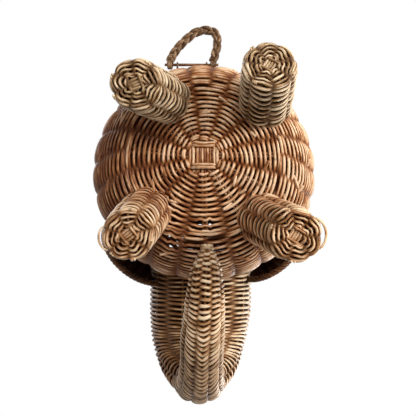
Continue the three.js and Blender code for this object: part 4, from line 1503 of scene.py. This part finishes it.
def trunk_tip():
    """Bound tip of the trunk: a bundle of cut canes, one in the middle, with two turns of binding."""
    near_end, end = head_middle(np.array([NEAR_TIP, 1.0]))
    along = unit(end - near_end)
    upward = unit(np.cross(SIDEWAYS, along))
    thick = TIP_RADIUS * TIP_CANE
    turn = even_angles(TIP_CANES)
    spots = np.concatenate([[[0, 0]], 2 * thick * np.stack([np.cos(turn), np.sin(turn)], axis=-1)])
    length = np.array([-TIP_ROOT, 0.0, TIP_HEIGHT * TIP_BARED])
    start = end + spots[:, :1] * SIDEWAYS + spots[:, 1:] * upward
    path = start[:, None] + length[None, :, None] * along
    facing = np.broadcast_to(upward, path.shape)
    canes = [cane(path, facing, thick, sides=8, strand=0.9 * np.arange(len(path)))]
    wound = np.linspace(0, 1, BINDING_PLACES)[None, :, None]
    ring = np.cos(BINDING_TURNS * FULL_TURN * wound) * SIDEWAYS
    ring = ring + np.sin(BINDING_TURNS * FULL_TURN * wound) * upward
    binding = end + ring * (TIP_RADIUS + BINDING_OFF) + along * (wound * BINDING_RISE - BINDING_OFF)
    canes.append(cane(binding, ring, BINDING_CANE, sides=7, strand=8.0, grime=0.1))
    return make_piece("trunk_tip_binding", canes, tip_cane(), "basket", ["trunk_tip"])


def ear_canes(side, length, height, off, diameter, strand, grime):
    """Canes along lines of an ear, left out where the head is."""
    length, height, off = np.broadcast_arrays(length, height, off)
    path = ear_point(side, length, height, off)
    facing = ear_point(side, length, height, off + MM) - path
    return cane(path, facing, diameter / 2, keep=outside_head(path), strand=strand, grime=grime)


def ear_weave(name, side, seed):
    """Rows of an ear, woven between upright stakes inside its hoop."""
    sizes = bpy.context.scene.basket_sizes
    half_length = EAR_HALF_LENGTH - EAR_HOOP / 2
    half_height = EAR_HALF_HEIGHT - EAR_HOOP / 2
    rows = int(2 * half_height / EAR_ROW) - 1
    number = np.arange(rows)[:, None]
    height = (number - (rows - 1) / 2) * EAR_ROW
    share = np.linspace(-1, 1, EAR_ROW_PLACES)[None]
    length = share * half_length * np.sqrt(1 - (height / half_height) ** 2)
    wave = np.cos(math.pi * (length / EAR_STAKE_GAP + number))
    swing = (sizes.thin_stake + sizes.ear_weaver) / 2 * EAR_DEPTH * wave
    numbers = seed + np.arange(rows) * 0.7
    # Painted shade where a row passes behind a stake, none where it passes in front
    skin = ear_canes(side, length, height, swing, sizes.ear_weaver, numbers, 0.4 - 0.4 * wave)

    count = int(half_length / EAR_STAKE_GAP)
    length = np.arange(-count, count + 1)[:, None] * EAR_STAKE_GAP
    share = np.linspace(-1, 1, EAR_STAKE_PLACES)[None]
    height = share * half_height * np.sqrt(1 - (length / half_length) ** 2)
    stakes = ear_canes(side, length, height, 0.0, sizes.thin_stake, seed + 0.3, 0.4)
    make_piece(f"{name}_weavers", [skin, stakes], dark_cane(), "basket", [f"{name}_weave"])


def ear_hoop(name, side, seed):
    """Hoop of an ear: canes laid up as a rope round its edge."""
    turn = np.linspace(0, FULL_TURN, HOOP_PLACES, endpoint=False)[None]
    wind = HOOP_TWISTS * turn + even_angles(HOOP_CANES)[:, None]
    thick = EAR_HOOP * ROPE_CANE
    wider = (EAR_HOOP / 2 - thick) * np.cos(wind)
    off = (EAR_HOOP / 2 - thick) * np.sin(wind)

    def oval(wider, off):
        length = (EAR_HALF_LENGTH + wider) * np.cos(turn)
        height = (EAR_HALF_HEIGHT + wider) * np.sin(turn)
        return ear_point(side, length, height, off)

    hoop = oval(wider, off)
    numbers = seed + 0.8 * np.arange(HOOP_CANES)
    canes = cane(
        hoop, hoop - oval(0, 0), thick, sides=7, keep=outside_head(hoop), closed=True,
        strand=numbers, grime=0.25)
    make_piece(f"{name}_hoop_canes", [canes], dark_cane(), "basket", [f"{name}_hoop"])


def on_rod(x):
    """Points on the middle line of the tail's rod."""
    return np.stack([x, 0 * x + FRAME_Y + TAIL_OUT, 0 * x + TAIL_Z], axis=-1)


def tail_loop():
    """Tail loop: a plait along the loop, and each foot wound round the rod."""
    place = np.linspace(0, 1, LOOP_PLACES)
    flat = through_stations(TAIL_LOOP, place)
    spine = np.stack([flat[:, 0], FRAME_Y + TAIL_OUT + flat[:, 1], TAIL_Z + 0 * place], axis=-1)
    along = unit(np.gradient(spine, axis=0))
    canes = [plait(spine, np.cross(UPWARD, along), seed=60)]
    wound = np.linspace(0, 1, EYE_PLACES)[None]
    wind = EYE_TURNS * FULL_TURN * wound
    out = np.stack([0 * wind, np.cos(wind), np.sin(wind)], axis=-1)
    for foot in (TAIL_LOOP[0, 0], TAIL_LOOP[-1, 0]):
        x = foot + (wound - 0.5) * (TAIL_EYE_LENGTH - EYE_CANE)
        path = on_rod(x) + (TAIL_EYE / 2 - EYE_INSET) * out
        canes.append(cane(path, out, EYE_CANE / 2, sides=7, strand=foot * 90, grime=0.25))
    return make_piece("tail_plait", canes, tail_cane(), "tail", ["tail_loop"])


def tail_rod():
    """The rod that the tail turns on, a little uneven in girth."""
    x = np.linspace(*TAIL_ROD_ENDS, ROD_PLACES)[None]
    path = on_rod(x)
    thick = TAIL_ROD / 2 * (1 - ROD_UNEVEN * np.cos(ROD_WAVES * x))
    facing = np.broadcast_to(UPWARD, path.shape)
    rod = cane(path, facing, thick, sides=10, strand=71.0, grime=0.1)
    make_piece("tail_rod_cane", [rod], dark_cane(), "basket", ["tail_rod"])


def tail_tie(name):
    """A tie that holds the rod to the wall: it runs out of the weave, round the rod and back in."""
    place = TAIL_TIES[name]
    rod = FRAME_Y + TAIL_OUT
    radius = TAIL_ROD / 2 + TIE_GAP
    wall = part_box(name)[0].y - TIE_BURIED
    wind = np.linspace(-math.pi / 2, math.pi / 2, TIE_WIND_PLACES)
    share = np.linspace(0, 1, TIE_REACH_PLACES, endpoint=False)
    out = wall + (rod - wall) * share
    rise = radius * (TIE_PINCH + (1 - TIE_PINCH) * share)
    y = np.concatenate([out, rod + radius * np.cos(wind), out[::-1]])[None]
    z = TAIL_Z + np.concatenate([-rise, radius * np.sin(wind), rise[::-1]])[None]
    x = place + TIE_SHIFT * np.linspace(-1, 1, y.shape[1])[None]
    path = np.stack([x, y, z], axis=-1)
    facing = np.broadcast_to(SIDEWAYS, path.shape)
    tie = cane(path, facing, TIE_CANE / 2, sides=7, strand=place * 50, grime=0.2)
    make_piece(f"{name}_cane", [tie], dark_cane(), "basket", [name])


# Stage


def seen_rays(tree, rays):
    """1 for what the camera sees, straight or in gloss or through glass, and 0 for light on the basket."""
    seen = math_node(tree, "MAXIMUM", rays.outputs["Is Camera Ray"], rays.outputs["Is Glossy Ray"])
    return math_node(tree, "MAXIMUM", seen, rays.outputs["Is Transmission Ray"])


def floor_finish():
    """Pale matt floor, which fades to white far from the basket. From below it lets light and the camera
    through, so that the basket can be seen from under it."""
    colours = bpy.context.scene.basket_colours
    material = bpy.data.materials.new("stage_floor")
    material.use_nodes = True
    tree = material.node_tree
    shader = tree.nodes["Principled BSDF"]
    shader.inputs["Base Color"].default_value = linear(colours.floor)
    shader.inputs["Roughness"].default_value = FLOOR_ROUGHNESS
    rays = node(tree, "ShaderNodeLightPath")
    distance = node(tree, "ShaderNodeVectorMath", operation="LENGTH")
    tree.links.new(object_place(tree), distance.inputs[0])
    far = ramp(tree, distance.outputs["Value"], *FLOOR_FADE)
    white = node(tree, "ShaderNodeEmission")
    white.inputs["Color"].default_value = WHITE
    faded = math_node(tree, "MULTIPLY", far, seen_rays(tree, rays))
    seen = mix_shader(tree, faded, shader.outputs[0], white.outputs[0])
    behind = node(tree, "ShaderNodeNewGeometry").outputs["Backfacing"]
    through = math_node(tree, "MAXIMUM", behind, rays.outputs["Is Shadow Ray"])
    clear = node(tree, "ShaderNodeBsdfTransparent")
    mixed = mix_shader(tree, through, seen, clear.outputs[0])
    tree.links.new(mixed, tree.nodes["Material Output"].inputs["Surface"])
    return material


def make_floor():
    """A round flat floor just under the soles."""
    turn = even_angles(FLOOR_CORNERS)
    x, y = FLOOR_RADIUS * np.cos(turn), FLOOR_RADIUS * np.sin(turn)
    corners = np.stack([x, y, 0 * turn - FLOOR_DROP], axis=-1)
    mesh = bpy.data.meshes.new("stage_floor")
    mesh.from_pydata(corners.tolist(), [], [list(range(FLOOR_CORNERS))])
    mesh.materials.append(floor_finish())
    floor = linked("stage_floor", mesh)


def make_world():
    """White to the camera, in gloss and through glass, and a soft even light on the basket."""
    world = bpy.data.worlds.new("stage_world")
    bpy.context.scene.world = world
    world.use_nodes = True
    tree = world.node_tree
    background = tree.nodes["Background"]
    background.inputs["Color"].default_value = WHITE
    rays = node(tree, "ShaderNodeLightPath")
    strength = math_node(tree, "MAXIMUM", seen_rays(tree, rays), AMBIENT)
    tree.links.new(strength, background.inputs["Strength"])


def make_lamp(name, place, size, watts, tint):
    """A soft square lamp at a place, turned to the basket."""
    light = bpy.data.lights.new(name, "AREA")
    light.size = size
    light.energy = watts
    light.color = tint
    lamp = linked(name, light)
    lamp.location = place
    turned = unit(np.array(LAMP_AIM) - np.array(place))
    pitch = math.acos(-turned[2])
    heading = math.atan2(turned[0], -turned[1])
    lamp.rotation_euler = (pitch, 0, heading + math.pi)


def make_camera():
    """A camera under the floor that looks straight up, as in the photo."""
    data = bpy.data.cameras.new("photo_camera")
    data.sensor_width = SENSOR
    data.lens = SENSOR * PHOTO_FOCAL / PHOTO_WIDTH
    data.clip_start = CAMERA_NEAR
    camera = linked("photo_camera", data)
    camera.location = CAMERA_PLACE
    camera.rotation_euler = (0, math.pi, 0)
    bpy.context.scene.camera = camera


# Operators and panel


class BasketPart:
    """What every operator of the basket shares."""

    bl_options = {"REGISTER", "UNDO"}


class BASKET_OT_body_stakes(BasketPart, bpy.types.Operator):
    """Add the crossed canes of the base and the stakes of the wall"""

    bl_idname = "basket.body_stakes"
    bl_label = "Body stakes"

    def execute(self, context):
        body_stakes()
        return {"FINISHED"}


class BASKET_OT_base(BasketPart, bpy.types.Operator):
    """Add the weave of the round base"""

    bl_idname = "basket.base"
    bl_label = "Base"

    def execute(self, context):
        base_weave()
        return {"FINISHED"}


class BASKET_OT_wall(BasketPart, bpy.types.Operator):
    """Add the weave of the wall"""

    bl_idname = "basket.wall"
    bl_label = "Wall"

    def execute(self, context):
        wall_weave()
        return {"FINISHED"}


class BASKET_OT_rim(BasketPart, bpy.types.Operator):
    """Add the rolled border of the opening"""

    bl_idname = "basket.rim"
    bl_label = "Rim"

    def execute(self, context):
        rim_border()
        return {"FINISHED"}


class BASKET_OT_legs(BasketPart, bpy.types.Operator):
    """Add the four legs with their soles and stakes"""

    bl_idname = "basket.legs"
    bl_label = "Legs"

    def execute(self, context):
        for number, name in enumerate(LEGS):
            leg(name, number)
        return {"FINISHED"}


class BASKET_OT_head(BasketPart, bpy.types.Operator):
    """Add the head, the trunk and its bound tip"""

    bl_idname = "basket.head"
    bl_label = "Head and trunk"

    def execute(self, context):
        head_and_trunk()
        trunk_tip()
        return {"FINISHED"}


class BASKET_OT_ears(BasketPart, bpy.types.Operator):
    """Add the two ears"""

    bl_idname = "basket.ears"
    bl_label = "Ears"

    def execute(self, context):
        for name, side, seed in (("ear_left", 1, 80), ("ear_right", -1, 90)):
            ear_weave(name, side, seed)
            ear_hoop(name, side, seed)
        return {"FINISHED"}


class BASKET_OT_tail(BasketPart, bpy.types.Operator):
    """Add the plaited tail loop, its rod and its ties"""

    bl_idname = "basket.tail"
    bl_label = "Tail"

    def execute(self, context):
        tail_loop()
        tail_rod()
        for name in TAIL_TIES:
            tail_tie(name)
        return {"FINISHED"}


class BASKET_OT_stage(BasketPart, bpy.types.Operator):
    """Add the floor, the light and the camera"""

    bl_idname = "basket.stage"
    bl_label = "Stage"

    def execute(self, context):
        make_floor()
        make_world()
        for name, (place, size, watts, tint) in LAMPS.items():
            make_lamp(name, place, size, watts, tint)
        make_camera()
        context.scene.view_settings.view_transform = "Standard"
        return {"FINISHED"}


class BASKET_PT_panel(bpy.types.Panel):
    """Lists the basket's parts, sizes and colours"""

    bl_idname = "BASKET_PT_panel"
    bl_label = "Elephant basket"
    bl_space_type = "VIEW_3D"
    bl_region_type = "UI"
    bl_category = "Basket"

    def draw(self, context):
        for operator in OPERATORS:
            self.layout.operator(operator.bl_idname)
        for group in (context.scene.basket_sizes, context.scene.basket_colours):
            for key in group.__annotations__:
                self.layout.prop(group, key)


OPERATORS = (
    BASKET_OT_stage,
    BASKET_OT_body_stakes,
    BASKET_OT_base,
    BASKET_OT_wall,
    BASKET_OT_rim,
    BASKET_OT_legs,
    BASKET_OT_head,
    BASKET_OT_ears,
    BASKET_OT_tail,
)
CLASSES = (BasketSizes, BasketColours, *OPERATORS, BASKET_PT_panel)


def register():
    """Makes the basket's properties, operators and panel known."""
    for kind in CLASSES:
        bpy.utils.register_class(kind)
    bpy.types.Scene.basket_sizes = bpy.props.PointerProperty(type=BasketSizes)
    bpy.types.Scene.basket_colours = bpy.props.PointerProperty(type=BasketColours)


def unregister():
    """Takes the basket's properties, operators and panel away again."""
    del bpy.types.Scene.basket_colours
    del bpy.types.Scene.basket_sizes
    for kind in reversed(CLASSES):
        bpy.utils.unregister_class(kind)


def main():
    """Builds the stage and the basket, part by part."""
    register()
    bpy.ops.basket.stage()
    bpy.ops.basket.body_stakes()
    bpy.ops.basket.base()
    bpy.ops.basket.wall()
    bpy.ops.basket.rim()
    bpy.ops.basket.legs()
    bpy.ops.basket.head()
    bpy.ops.basket.ears()
    bpy.ops.basket.tail()


if __name__ == "__main__":
    main()
